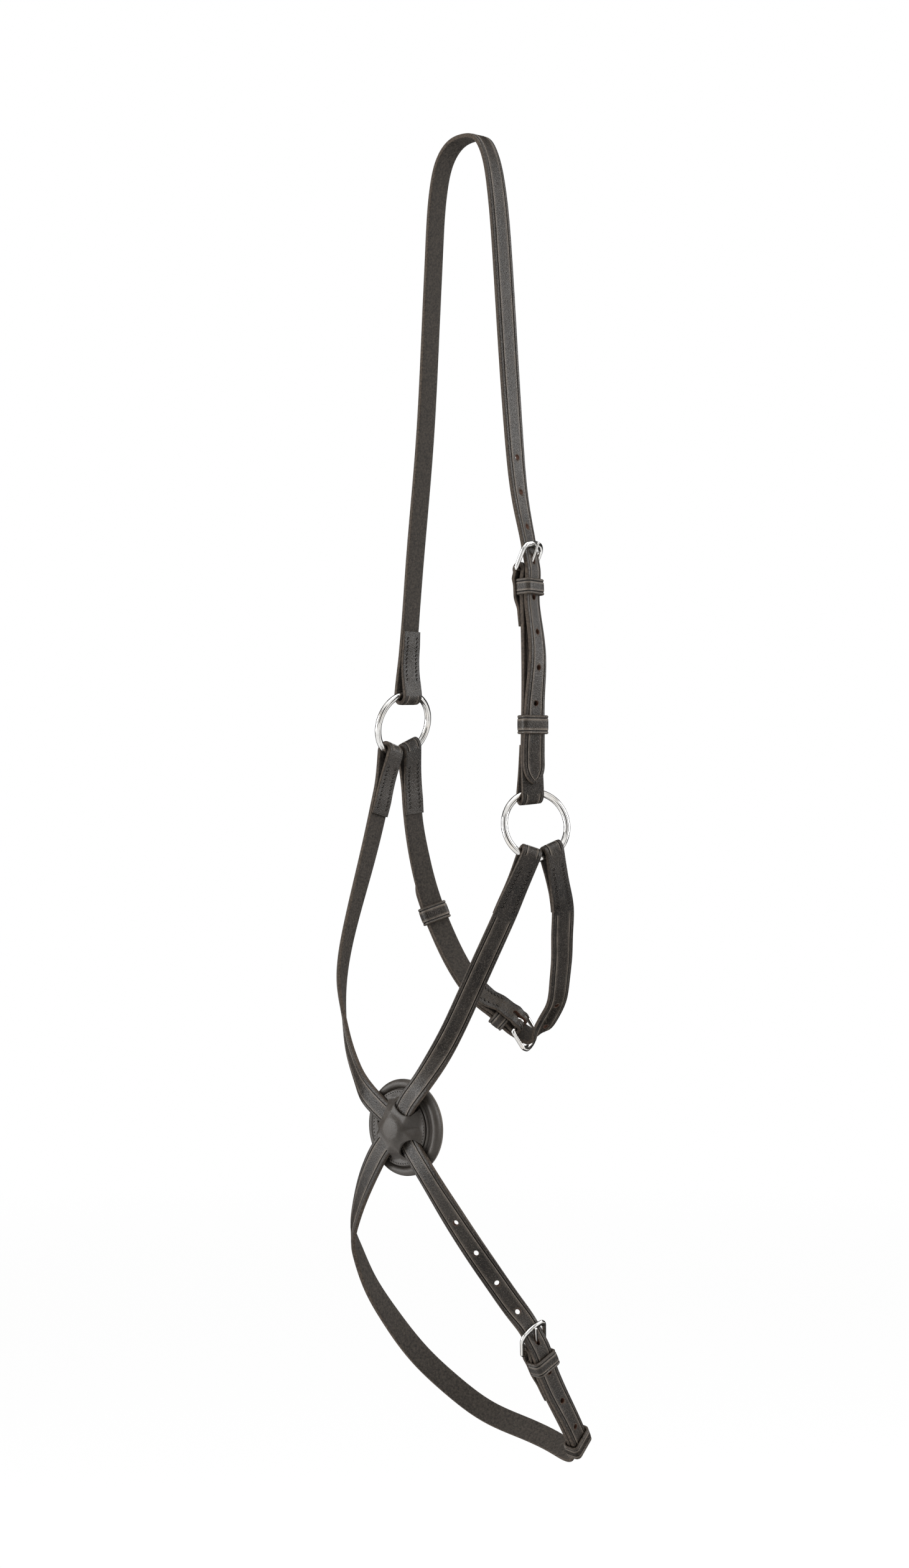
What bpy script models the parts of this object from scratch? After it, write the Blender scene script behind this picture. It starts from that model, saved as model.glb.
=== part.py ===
"""A figure eight noseband for a horse, in its fastened shape.

A headpiece strap runs over the poll and buckles to a short cheek strap.
Each side hangs a steel ring, and from the rings a pair of nose straps
crosses under a round nose pad and a pair of jaw straps meets behind the
jaw.  The lower ends of the nose straps buckle in the chin groove.

Lengths are in metres.  +X is the horse's near side, -Y its front, +Z up,
and the origin is under the top of the headpiece, where it rests on the poll.
"""

from dataclasses import dataclass
from math import acos, asin, atan2, ceil, cos, degrees, hypot, pi, radians, sin, sqrt, tan

import bmesh
import bpy
import numpy as np
from mathutils import Matrix, Vector

# Leather
STRAP_WIDTH = 0.0145
STRAP_THICK = 0.0028
EDGE_BEVEL = 0.0006
LAYER_GAP = 0.0003
LAP_LENGTH = 0.041
CHEEK_LAP_LENGTH = 0.030
LAP_THICK = 0.0020
LAP_END_THICK = 0.0012
SKIVE_LENGTH = 0.009
POINT_LENGTH = 0.013
POINT_WIDTH = 0.003

# Punched holes, and how many lie before the tongue's and beyond it
HOLE_DIAMETER = 0.004
HOLE_PITCH = 0.0225
HEAD_HOLE_counts = (3, 4)
CHIN_HOLE_counts = (4, 3)
JAW_HOLE_counts = (2, 4)

# Rings
RING_INSIDE = 0.038
RING_WIRE = 0.0042
RING_SLACK = 0.0010
RING_FOLD = 0.016
FOLD_SLANT_share = 0.85
LOOP_WIDTH = 0.0128

# Keepers and runners
KEEPER_WIDTH = 0.0102
RUNNER_WIDTH = 0.0118
KEEPER_WALL = 0.0016
KEEPER_SLACK = 0.0004
KEEPER_CORNER = 0.0024
KEEPER_PLACE = 0.0112
KEEPER_ROOM = 0.0024

# Buckles
HEEL_RADIUS = 0.0015
HEEL_SLACK = 0.0003
FRAME_LENGTH = 0.016
FRAME_ROOM = 0.0012
SIDE_RADIUS = 0.0014
FRONT_HALF_WIDTH = 0.0021
FRONT_HALF_THICK = 0.0012
FRAME_CORNER = 0.0036
FRONT_CLEAR = 0.0016
FRONT_BOW = 0.0016
HEEL_CORNER = 0.0017
BILLET_DIP = 0.0022
TONGUE_RADIUS = 0.0011
TONGUE_TIP_RADIUS = 0.0008
TONGUE_OVERHANG = 0.0016
TONGUE_PLAY = 0.0011
SLOT_ROOM = 0.0006
SLOT_LENGTH = 0.0075
TONGUE_HOLE_LENGTH = 0.014
HEEL_BAR_shares = (-0.7, 0, 0.7)
TONGUE_shares = (0.45, 0.8, 1.0)
CHAPE_LENGTH = 0.036
CHAPE_FOLD = 0.011
CHAPE_STRAIGHT = 0.020

# Nose pad
PAD_DIAMETER = 0.061
PAD_LINING_THICK = 0.0022
PAD_LINING_MARGIN = 0.0012
PAD_PLATEAU = 0.0040
PAD_RIM_HEIGHT = 0.0052
PAD_RIM_WIDTH = 0.0058
PAD_GROOVE_DEPTH = 0.0014
PAD_RIDGE_WIDTH = 0.0026
PAD_EDGE_ROUND = 0.0014
COVER_REACH = 0.0225
COVER_EXIT = 0.0142
COVER_WALL = 0.0016
COVER_FOOT = 0.0012
COVER_FALL = 0.0045
COVER_INSET = 0.0005
COVER_ASIDE = 0.0008

# Where the pieces hang
HALF_SPREAD = 0.060
HEAD_REACH = 0.060
LEFT_DROP = 0.375
RIGHT_DROP = 0.440
PAD_DROP = 0.632
CHIN_SPAN = 0.219
JAW_SPAN = 0.193

# The rest of a route is written in shares of those sizes: across the half
# spread, along the reach, and down from one level to the next, then the
# heading and the tilt of the grain side in degrees.
LEFT_RING_shares = (-1.023, 0.0)
RIGHT_RING_shares = (0.955, 0.023)
LEFT_RING_FACING = (177, 16)
RIGHT_RING_FACING = (-25, 10)
TOP_LOOP_LEFT_ANGLE = -2
TOP_LOOP_RIGHT_ANGLE = -6.5
NOSE_LOOP_ANGLE = -18
LOOP_SPACING_share = 1.21

HEAD_LEFT_shares = [
    (-0.930, 0.00, 0.850, 180, 5),
    (-0.838, 0.00, 0.713, 180, 5),
    (-0.687, 0.00, 0.512, 180, 5),
    (-0.590, 0.00, 0.304, 180, 4),
    (-0.535, 0.00, 0.170, 180, 6),
    (-0.462, 0.00, 0.068, 180, 22),
    (-0.345, 0.00, 0.0215, 180, 45),
    (-0.185, 0.00, 0.0010, 180, 72),
]
HEAD_RIGHT_shares = [
    (0.165, 0.00, 0.0012, 0, 68),
    (0.290, 0.00, 0.023, 0, 42),
    (0.388, 0.00, 0.068, -4, 20),
    (0.490, 0.00, 0.178, -8, 7),
    (0.574, 0.00, 0.314, -7, 6),
    (0.668, 0.00, 0.452, -2, 9),
    (0.755, 0.01, 0.540, 5, 10),
]
CHEEK_HEEL_shares = (0.798, 0.017, 0.634)
CHEEK_FACING = (10, 1)
CHEEK_MIDDLE_shares = (0.42, 0.035, -8, 1)

NOSE_LEFT_shares = [
    (-1.115, -0.235, 0.13, 182, 12),
    (-1.200, -0.400, 0.30, 187, 10),
    (-1.270, -0.565, 0.47, 198, 6),
    (-1.280, -0.680, 0.63, 210, 0),
    (-1.175, -0.740, 0.72, 222, -3),
    (-1.010, -0.815, 0.80, 233, -6),
    (-0.810, -0.890, 0.86, 245, -10),
    (-0.590, -0.950, 0.905, 256, -12),
]
NOSE_RIGHT_shares = [
    (0.880, -0.240, 0.13, -30, 8),
    (0.732, -0.530, 0.374, -38, 4),
    (0.615, -0.690, 0.526, -45, 0),
    (0.455, -0.825, 0.678, -56, -4),
]
CHIN_NEAR_shares = [
    (0.433, -0.917, 0.171, -72, -12),
    (0.575, -0.790, 0.245, -61, -10),
    (0.745, -0.660, 0.333, -48, -8),
    (0.895, -0.515, 0.416, -35, -6),
    (1.030, -0.345, 0.500, -22, -4),
]
CHIN_FAR_shares = [
    (-0.480, -0.985, 0.135, -104, -12),
    (-0.720, -0.915, 0.205, -118, -12),
    (-0.925, -0.810, 0.280, -130, -10),
    (-1.085, -0.690, 0.345, -140, -8),
    (-1.175, -0.540, 0.400, -150, -6),
    (-1.205, -0.350, 0.490, -163, -8),
    (-1.150, -0.080, 0.605, 178, -12),
    (-0.970, 0.180, 0.720, 155, -18),
    (-0.700, 0.430, 0.815, 134, -26),
    (-0.360, 0.670, 0.893, 115, -32),
    (0.060, 0.830, 0.932, 95, -38),
    (0.430, 0.880, 0.958, 70, -48),
    (0.760, 0.800, 0.968, 48, -50),
    (0.985, 0.640, 0.940, 30, -30),
]
CHIN_HEEL_shares = (1.090, -0.158, 0.608)
CHIN_FACING = (-9, 4)
CHIN_LINE_shares = [
    (1.100, 0.450, 0.885, 18, -14),
    (1.145, 0.240, 0.808, 6, -4),
    (1.135, 0.060, 0.725, -8, 4),
]

JAW_LEFT_shares = [
    (-1.105, 0.215, 0.115, 178, 10),
    (-1.120, 0.260, 0.265, 174, 6),
    (-1.110, 0.320, 0.370, 168, 4),
    (-1.085, 0.385, 0.470, 162, 0),
    (-1.017, 0.447, 0.575, 157, -6),
    (-0.900, 0.510, 0.685, 154, -12),
    (-0.658, 0.538, 0.812, 156, -22),
    (-0.328, 0.623, 0.932, 161, -33),
]
JAW_HEEL_shares = (-0.083, 0.850, 1.0145)
JAW_FACING = (166, -38)
JAW_RIGHT_shares = [
    (1.100, 0.200, 0.13, -24, 5),
    (1.020, 0.370, 0.29, -27, 2),
    (0.890, 0.501, 0.45, -25, -9),
    (0.739, 0.654, 0.62, -17, -21),
    (0.653, 0.726, 0.71, -13, -28),
    (0.506, 0.843, 0.852, -3, -45),
    (0.242, 0.975, 0.9953, -10, -60),
]

# Where the straps leave the pad, as angles in its own plane and as shares
# of its radius
PAD_PLACE_shares = (-0.035, -1.0)
PAD_FACING = (-88, -12)
PAD_EXITS = {"near_up": 61, "far_up": 146, "far_down": 226, "near_down": 311}
PAD_EDGES = {"near_up": 55, "far_up": 146, "far_down": 228, "near_down": 311}
PAD_EXIT_share = 0.52
PAD_EDGE_share = 1.06
BILLET_BOW = 0.0030
BILLET_FRONT_shares = (1.0, 0.5, 0.0)
JAW_FRONT_shares = (0.72, 0.4, 0.0)
BILLET_BACK_share = 0.25
CHIN_RUNNER_PLACE = 0.078
CHIN_BILLET_END = 0.090
CHEEK_RUNNER_PLACE = 0.098
CHEEK_TIP_MARGIN = 0.0058
JAW_RUNNER_PLACE = 0.096
JAW_BILLET_END = 0.122

# Fineness of the meshes
STATION_STEP = 0.021
STATION_TURN = radians(15)
DENSE_STEPS = 8
FOLD_STEPS = 6
FLARE_STEPS = 4
POINT_STEPS = 6
POINT_SHAPE = 2.2
RING_STEPS = 40
WIRE_SIDES = 10
HOLE_SIDES = 10
BAR_SIDES = 8
HEEL_CORNER_STEPS = 2
FRONT_CORNER_STEPS = 4
EYE_STEPS = 9
BAND_CORNER_STEPS = 2
COVER_SIDES = 44
COVER_BANDS = 6
PAD_STEPS = 40
OVERRUN = 0.002
SHARP_TURN = 40
SMOOTH_TURN = 60
RIDGE_ARC = (170, 10, 4)
RIM_ARC = (150, 0, 5)
SLOT_DEPTH_share = 4
KEEPER_BEVEL_share = 0.25
MERGE_share = 0.1

# Plain surfaces: red, green, blue, roughness and metal
STRAP_LOOK_shares = (0.022, 0.018, 0.015, 0.45, 0.0)
PAD_LOOK_shares = (0.028, 0.024, 0.021, 0.5, 0.0)
LINING_LOOK_shares = (0.05, 0.04, 0.032, 0.75, 0.0)
STEEL_LOOK_shares = (0.62, 0.62, 0.61, 0.18, 1.0)

# Worked out from the sizes above
HALF_WIDTH = STRAP_WIDTH / 2
HALF_THICK = STRAP_THICK / 2
CHIN_DROP = PAD_DROP + CHIN_SPAN
JAW_DROP = LEFT_DROP + JAW_SPAN
LAYER = STRAP_THICK + LAYER_GAP
RING_RADIUS = (RING_INSIDE + RING_WIRE) / 2
RING_BEND = RING_WIRE / 2 + RING_SLACK + HALF_THICK
EYE_RADIUS = HEEL_RADIUS + HEEL_SLACK + TONGUE_RADIUS
HEEL_BEND = HEEL_RADIUS + HEEL_SLACK + HALF_THICK
BILLET_LIFT = HEEL_BEND + LAYER
FRONT_LIFT = BILLET_LIFT - BILLET_DIP + HALF_THICK + LAYER_GAP + FRONT_CLEAR
FRAME_TILT = asin(FRONT_LIFT / FRAME_LENGTH)
BILLET_LEAD = FRAME_LENGTH * cos(FRAME_TILT)
JAW_LOOP_ANGLE = NOSE_LOOP_ANGLE + LOOP_SPACING_share * degrees(
    2 * asin((LOOP_WIDTH / 2 + KEEPER_SLACK) / RING_RADIUS)
)
PAD_RADIUS = PAD_DIAMETER / 2
PAD_TOP = PAD_PLATEAU + PAD_LINING_THICK + LAYER_GAP
LOWER_LIFT = PAD_LINING_THICK + LAYER_GAP + PAD_RIM_HEIGHT + LAYER_GAP + HALF_THICK
UPPER_LIFT = LOWER_LIFT + LAYER
UP = Vector((0, 0, 1))


def heading(azimuth, tilt):
    """A unit vector from a heading and a tilt in degrees."""
    turn, rise = radians(azimuth), radians(tilt)
    return Vector((cos(turn) * cos(rise), sin(turn) * cos(rise), sin(rise)))


def smooth(t):
    """Ease from 0 to 1."""
    t = min(max(t, 0), 1)
    return t * t * (3 - 2 * t)


def place(shares, top, bottom):
    """A point from shares of the spread, the reach and a drop."""
    across, along, down = shares[:3]
    return Vector((
        across * HALF_SPREAD,
        along * HEAD_REACH,
        -top - down * (bottom - top),
    ))


def places(table, top, bottom):
    """Points and grain directions from a table of shares."""
    return [(place(row, top, bottom), heading(row[3], row[4])) for row in table]


class Frame:
    """A point with three directions: along, out and across."""

    def __init__(self, point, along, out):
        self.point = point.copy()
        self.along = along.normalized()
        self.across = self.along.cross(out).normalized()
        self.out = self.across.cross(self.along)

    def to_world(self, across, along, out):
        return self.point + self.across * across + self.along * along + self.out * out

    def matrix(self):
        axes = Matrix((self.across, self.along, self.out)).transposed()
        return Matrix.Translation(self.point) @ axes.to_4x4()


class Route:
    """A smooth strap line through points, with the grain side's direction."""

    PER_SPAN = 12

    def __init__(self, knots):
        points = np.array([tuple(p) for p, _ in knots])
        outs = np.array([tuple(n) for _, n in knots])
        chords = np.linalg.norm(np.diff(points, axis=0), axis=1)
        marks = np.concatenate([[0], np.cumsum(chords)])
        spread = [
            np.linspace(a, b, self.PER_SPAN, endpoint=False)
            for a, b in zip(marks, marks[1:])
        ]
        fine = np.concatenate(spread + [marks[-1:]])
        self.points = [Vector(p) for p in spline(marks, points, fine)]
        normals = [Vector(p) for p in spline(marks, outs, fine)]
        self.marks = [0.0]
        for a, b in zip(self.points, self.points[1:]):
            self.marks.append(self.marks[-1] + (b - a).length)
        self.length = self.marks[-1]
        self.knots = self.marks[::self.PER_SPAN]
        self.alongs = [
            (self.points[min(i + 1, len(self.points) - 1)] - self.points[max(i - 1, 0)])
            for i in range(len(self.points))
        ]
        self.outs = normals

    def at(self, distance):
        """The frame at a distance along the line."""
        distance = min(max(distance, 0), self.length)
        i = int(np.searchsorted(self.marks, distance, side="right")) - 1
        i = min(max(i, 0), len(self.marks) - 2)
        t = (distance - self.marks[i]) / (self.marks[i + 1] - self.marks[i])
        return Frame(
            self.points[i].lerp(self.points[i + 1], t),
            self.alongs[i].normalized().lerp(self.alongs[i + 1].normalized(), t),
            self.outs[i].normalized().lerp(self.outs[i + 1].normalized(), t),
        )

    def nearest(self, point):
        """The distance along the line of the place nearest to a point."""
        i = min(range(len(self.points)), key=lambda k: (self.points[k] - point).length)
        return self.marks[i]

    def distances(self, start, end):
        """Distances from start to end, closer together where the strap bends."""
        steps = max(DENSE_STEPS, ceil((end - start) / (STATION_STEP / DENSE_STEPS)))
        dense = [start + (end - start) * i / steps for i in range(steps + 1)]
        frames = [self.at(d) for d in dense]
        costs = [0.0]
        for a, b, d, e in zip(frames, frames[1:], dense, dense[1:]):
            turn = a.along.angle(b.along, 0) + a.out.angle(b.out, 0)
            costs.append(costs[-1] + (e - d) / STATION_STEP + turn / STATION_TURN)
        count = max(1, ceil(costs[-1]))
        wanted = [costs[-1] * i / count for i in range(count + 1)]
        return [float(x) for x in np.interp(wanted, costs, dense)]


    def stations(self, begin, finish, runs):
        """Distances from begin to finish that keep the given runs as they are."""
        marks = [begin]
        for run in (*runs, [finish]):
            if run[0] - marks[-1] > LAYER_GAP:
                marks += self.distances(marks[-1], run[0])[1:]
            marks += run[1:]
        return marks


def spline(marks, values, wanted):
    """A natural cubic spline through values, read at the wanted marks."""
    count = len(marks)
    gaps = np.diff(marks)
    slopes = np.diff(values, axis=0) / gaps[:, None]
    system = np.zeros((count, count))
    right = np.zeros((count, values.shape[1]))
    system[0, 0] = system[-1, -1] = 1
    for i in range(1, count - 1):
        system[i, i - 1:i + 2] = gaps[i - 1], 2 * (gaps[i - 1] + gaps[i]), gaps[i]
        right[i] = 6 * (slopes[i] - slopes[i - 1])
    bends = np.linalg.solve(system, right)
    spans = np.clip(np.searchsorted(marks, wanted, side="right") - 1, 0, count - 2)
    gap = gaps[spans][:, None]
    a = (marks[spans + 1] - wanted)[:, None]
    b = (wanted - marks[spans])[:, None]
    return (
        bends[spans] * a ** 3 / (6 * gap) + bends[spans + 1] * b ** 3 / (6 * gap)
        + (values[spans] / gap - bends[spans] * gap / 6) * a
        + (values[spans + 1] / gap - bends[spans + 1] * gap / 6) * b
    )


@dataclass
class Station:
    """One section of a strap: its middle, its side and its half sizes."""

    point: Vector
    across: Vector
    thick: float
    half: float
    toward: Vector = None
    fold: object = None
    mark: float = 0.0
    back: float = 0.0


class Fold:
    """A strap end turned round a wire and stitched back on itself."""

    def __init__(self, bend, lap, settle, keeper_room=0.0, width=STRAP_WIDTH, lean=None):
        self.bend = bend
        self.lap = lap
        self.settle = settle
        self.keeper_room = keeper_room
        self.width = width
        self.lean = lean

    def marks(self):
        """Distances from the wire where both layers have a station."""
        far = self.lap - SKIVE_LENGTH
        steps = max(1, ceil((far - self.settle) / (STATION_STEP / 2)))
        return [self.lap] + [
            far + (self.settle - far) * i / steps for i in range(steps + 1)
        ]

    def near_marks(self):
        """Distances nearer the wire, where the layers part."""
        return [self.settle * i / FLARE_STEPS for i in range(FLARE_STEPS - 1, 0, -1)]

    def flare(self, distance):
        """How far each layer stands off the middle of the lap."""
        return LAYER / 2 + (self.bend - LAYER / 2) * (1 - smooth(distance / self.settle))

    def half_thick(self, distance):
        """Half the lap's thickness, which is pared towards its end."""
        if distance > self.lap - SKIVE_LENGTH:
            pared = (distance - self.lap + SKIVE_LENGTH) / SKIVE_LENGTH
            return (LAP_THICK + (LAP_END_THICK - LAP_THICK) * pared) / 2
        pared = smooth(distance / self.settle)
        return (STRAP_THICK + (LAP_THICK - STRAP_THICK) * pared) / 2

    def half(self, distance):
        """Half the strap's width, which is less round the wire."""
        return (self.width + (STRAP_WIDTH - self.width) * smooth(distance / self.lap)) / 2

    def detour(self, distance):
        """The lap's way round a keeper that is sewn in over it."""
        start = KEEPER_PLACE - KEEPER_WIDTH
        end = KEEPER_PLACE + KEEPER_WIDTH / 2
        rise = smooth((distance - start) / (KEEPER_WIDTH / 2))
        fall = 1 - smooth((distance - end) / KEEPER_WIDTH)
        return self.keeper_room * rise * fall

    def follow(self, across, distance, back):
        """How far a fold is carried along the strap, as its ring curves.

        The wire crosses the strap at a lean, whose sine is given.  The fold
        slants nearly as much, and stands back to clear the wire at both sides.
        """
        if self.lean is None:
            return 0.0
        steep = 1 / sqrt(1 - self.lean ** 2)
        slant = self.lean * steep * FOLD_SLANT_share
        ends = (-self.width / 2, 0, self.width / 2)
        clear = min(self.wire(end) - slant * end for end in ends)
        carried = (clear + slant * across) * (1 - smooth(distance / self.lap))
        return carried - back * (steep - 1)

    def wire(self, across):
        """How far along the strap its wire lies beside the strap's middle."""
        middle = self.lean * RING_RADIUS
        run = sqrt(RING_RADIUS ** 2 - (across - middle) ** 2)
        return run - sqrt(RING_RADIUS ** 2 - middle ** 2)


def fold_stations(route, fold, at_end):
    """Stations of one folded end, from the lap's end round to the main layer."""
    def spot(distance):
        return route.at(route.length - distance if at_end else distance)

    tip = spot(0)
    toward = -tip.along if at_end else tip.along
    both = fold.marks() + fold.near_marks()
    stations = []
    for mark in both:
        frame = spot(mark)
        thin = fold.half_thick(mark)
        lift = -LAYER / 2 - fold.flare(mark) - fold.detour(mark) + HALF_THICK - thin
        stations.append(Station(
            frame.point + frame.out * lift, frame.across, thin, fold.half(mark),
            toward, fold, mark,
        ))
    centre = tip.point - tip.out * LAYER / 2
    for i in range(FOLD_STEPS + 1):
        turn = pi * i / FOLD_STEPS
        arm = -tip.out * cos(turn) - toward * sin(turn)
        stations.append(Station(
            centre + arm * fold.bend, tip.across, HALF_THICK, fold.half(0),
            toward, fold, 0, fold.bend * sin(turn),
        ))
    for mark in reversed(both):
        frame = spot(mark)
        stations.append(Station(
            frame.point + frame.out * (fold.flare(mark) - LAYER / 2), frame.across,
            HALF_THICK, fold.half(mark), toward, fold, mark,
        ))
    return stations


def strap_mesh(route, start=None, end=None, tip=False, runs=()):
    """A whole strap: folds or a point at its ends and a ribbon between."""
    begin = start.lap if start else 0
    finish = route.length
    if end:
        finish = route.length - end.lap
    if tip:
        finish = route.length - POINT_LENGTH
    stations = fold_stations(route, start, False) if start else []
    marks = route.stations(begin, finish, runs)
    for mark in marks[1 if start else 0:-1 if end else None]:
        frame = route.at(mark)
        stations.append(Station(frame.point, frame.across, HALF_THICK, HALF_WIDTH))
    if tip:
        for i in range(1, POINT_STEPS + 1):
            t = sin(i / POINT_STEPS * pi / 2)
            frame = route.at(finish + POINT_LENGTH * t)
            half = HALF_WIDTH + (POINT_WIDTH / 2 - HALF_WIDTH) * t ** POINT_SHAPE
            stations.append(Station(frame.point, frame.across, HALF_THICK, half))
    if end:
        stations += reversed(fold_stations(route, end, True))
    return ribbon(stations)


def ribbon(stations):
    """A closed band lofted through the stations."""
    mesh = bmesh.new()
    rings = []
    for i, spot in enumerate(stations):
        before = stations[max(i - 1, 0)].point
        after = stations[min(i + 1, len(stations) - 1)].point
        along = (after - before).normalized()
        side = (spot.across - along * spot.across.dot(along)).normalized()
        out = side.cross(along)
        half, thick = spot.half, spot.thick
        bevel = min(EDGE_BEVEL, half / 2, thick / 2)
        outline = [
            (-half, bevel - thick), (bevel - half, -thick), (0, -thick),
            (half - bevel, -thick), (half, bevel - thick),
            (half, thick - bevel), (half - bevel, thick), (0, thick),
            (bevel - half, thick), (-half, thick - bevel),
        ]
        ring = []
        for across_by, out_by in outline:
            corner = spot.point + side * across_by + out * out_by
            if spot.fold is not None:
                corner += spot.toward * spot.fold.follow(across_by, spot.mark, spot.back)
            ring.append(mesh.verts.new(corner))
        rings.append(ring)
    skin(mesh, rings)
    return mesh


def skin(mesh, rings, closed=False):
    """Faces between rings of points, with both ends capped unless closed."""
    pairs = list(zip(rings, rings[1:]))
    if closed:
        pairs.append((rings[-1], rings[0]))
    for a, b in pairs:
        for i in range(len(a)):
            j = (i + 1) % len(a)
            mesh.faces.new((a[i], a[j], b[j], b[i]))
    if not closed:
        mesh.faces.new(list(reversed(rings[0])))
        mesh.faces.new(rings[-1])
    bmesh.ops.recalc_face_normals(mesh, faces=mesh.faces)


def material(name, look):
    """A plain surface for one kind of stuff, from its colour, roughness and metal."""
    *colour, roughness, metallic = look
    made = bpy.data.materials.get(name)
    if made is None:
        made = bpy.data.materials.new(name)
        made.use_nodes = True
        shader = made.node_tree.nodes["Principled BSDF"]
        shader.inputs["Base Color"].default_value = (*colour, 1)
        shader.inputs["Roughness"].default_value = roughness
        shader.inputs["Metallic"].default_value = metallic
        made.diffuse_color = (*colour, 1)
    return made


def strap_leather():
    return material("strap_leather", STRAP_LOOK_shares)


def pad_leather():
    return material("pad_leather", PAD_LOOK_shares)


def lining_leather():
    return material("lining_leather", LINING_LOOK_shares)


def steel():
    return material("stainless_steel", STEEL_LOOK_shares)


def new_collection(name):
    made = bpy.data.collections.new(name)
    bpy.context.scene.collection.children.link(made)
    return made


def add_object(name, mesh, surface, pivot=None, sharp=SHARP_TURN):
    """Turns a bmesh into a shaded part that hangs from its pivot."""
    data = bpy.data.meshes.new(name)
    mesh.to_mesh(data)
    mesh.free()
    return finish_object(name, data, surface, pivot, sharp)


def finish_object(name, data, surface, pivot=None, sharp=SHARP_TURN):
    data.shade_smooth()
    data.set_sharp_from_angle(angle=radians(sharp))
    data.materials.clear()
    data.materials.append(surface)
    made = bpy.data.objects.new(name, data)
    PARTS.objects.link(made)
    hang(made, pivot)
    return made


def hang(made, pivot):
    """Parents a piece to the empty on its joint, where it already lies."""
    if pivot is None:
        return
    made.parent = pivot
    made.matrix_parent_inverse = pivot.matrix_world.inverted()


def add_pivot(name, matrix, parent=None):
    """An empty on a joint's axis."""
    made = bpy.data.objects.new(name, None)
    made.empty_display_size = RING_WIRE
    PARTS.objects.link(made)
    made.matrix_world = matrix
    bpy.context.view_layer.update()
    if parent is not None:
        made.parent = parent
        made.matrix_parent_inverse = parent.matrix_world.inverted()
        bpy.context.view_layer.update()
    return made


def add_cutter(name, mesh, *targets):
    """A hidden tool that is taken out of the targets."""
    data = bpy.data.meshes.new(name)
    mesh.to_mesh(data)
    mesh.free()
    made = bpy.data.objects.new(name, data)
    CUTTERS.objects.link(made)
    made.hide_render = True
    made.display_type = "WIRE"
    for target in targets:
        cut = target.modifiers.new(name, "BOOLEAN")
        cut.operation = "DIFFERENCE"
        cut.solver = "EXACT"
        cut.object = made
    return made


def rod(mesh, centre, axis, radius, length, stretch=None):
    """A cylinder in a bmesh, stretched sideways for an oblong hole."""
    turn = axis.to_track_quat("Z", "Y").to_matrix().to_4x4()
    if stretch:
        direction, factor = stretch
        side = (direction - axis * direction.dot(axis)).normalized()
        axes = Matrix((side, axis.cross(side), axis)).transposed()
        turn = axes.to_4x4() @ Matrix.Diagonal((factor, 1, 1, 1))
    bmesh.ops.create_cone(
        mesh, cap_ends=True, segments=HOLE_SIDES, radius1=radius, radius2=radius,
        depth=length, matrix=Matrix.Translation(centre) @ turn,
    )


# Rings


class Ring:
    """A steel ring, with the places where the straps go round its wire."""

    def __init__(self, shares, drop, facing):
        self.centre = Vector((shares[0] * HALF_SPREAD, shares[1] * HEAD_REACH, -drop))
        self.out = heading(*facing)
        self.up = (UP - self.out * UP.dot(self.out)).normalized()
        back = self.up.cross(self.out)
        self.back = back if back.y > 0 else -back

    def spoke(self, angle, down=True):
        """The direction from the centre, as an angle towards the back."""
        start = -self.up if down else self.up
        turn = radians(angle)
        return start * cos(turn) + self.back * sin(turn)

    def wire(self, angle, down=True):
        """The middle of the wire in a loop."""
        return self.centre + self.spoke(angle, down) * RING_RADIUS


def ring_fold(ring, angle, onward, down=True, lap=LAP_LENGTH, width=STRAP_WIDTH):
    """A fold round a ring's wire towards the next place, and where its strap starts."""
    point = ring.wire(angle, down)
    along = (onward - point).normalized()
    tangent = ring.out.cross(ring.spoke(angle, down))
    out = tangent.cross(along).normalized()
    if out.dot(ring.out) < 0:
        out = -out
    if tangent.dot(along.cross(out)) < 0:
        tangent = -tangent
    fold = Fold(RING_BEND, lap, RING_FOLD, width=width, lean=along.dot(tangent))
    start = point + out * LAYER / 2
    return fold, [(start, out), (start + along * RING_FOLD, out)]


def make_ring(name, ring, pivot):
    bpy.ops.mesh.primitive_torus_add(
        major_radius=RING_RADIUS, minor_radius=RING_WIRE / 2,
        major_segments=RING_STEPS, minor_segments=WIRE_SIDES,
    )
    made = bpy.context.object
    axes = Matrix((ring.back, ring.up, ring.back.cross(ring.up))).transposed()
    made.matrix_world = Matrix.Translation(ring.centre) @ axes.to_4x4()
    made.name = made.data.name = name
    made.data.shade_smooth()
    made.data.materials.append(steel())
    for owner in made.users_collection:
        owner.objects.unlink(made)
    PARTS.objects.link(made)
    bpy.context.view_layer.update()
    hang(made, pivot)
    return made


# Buckles


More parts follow.
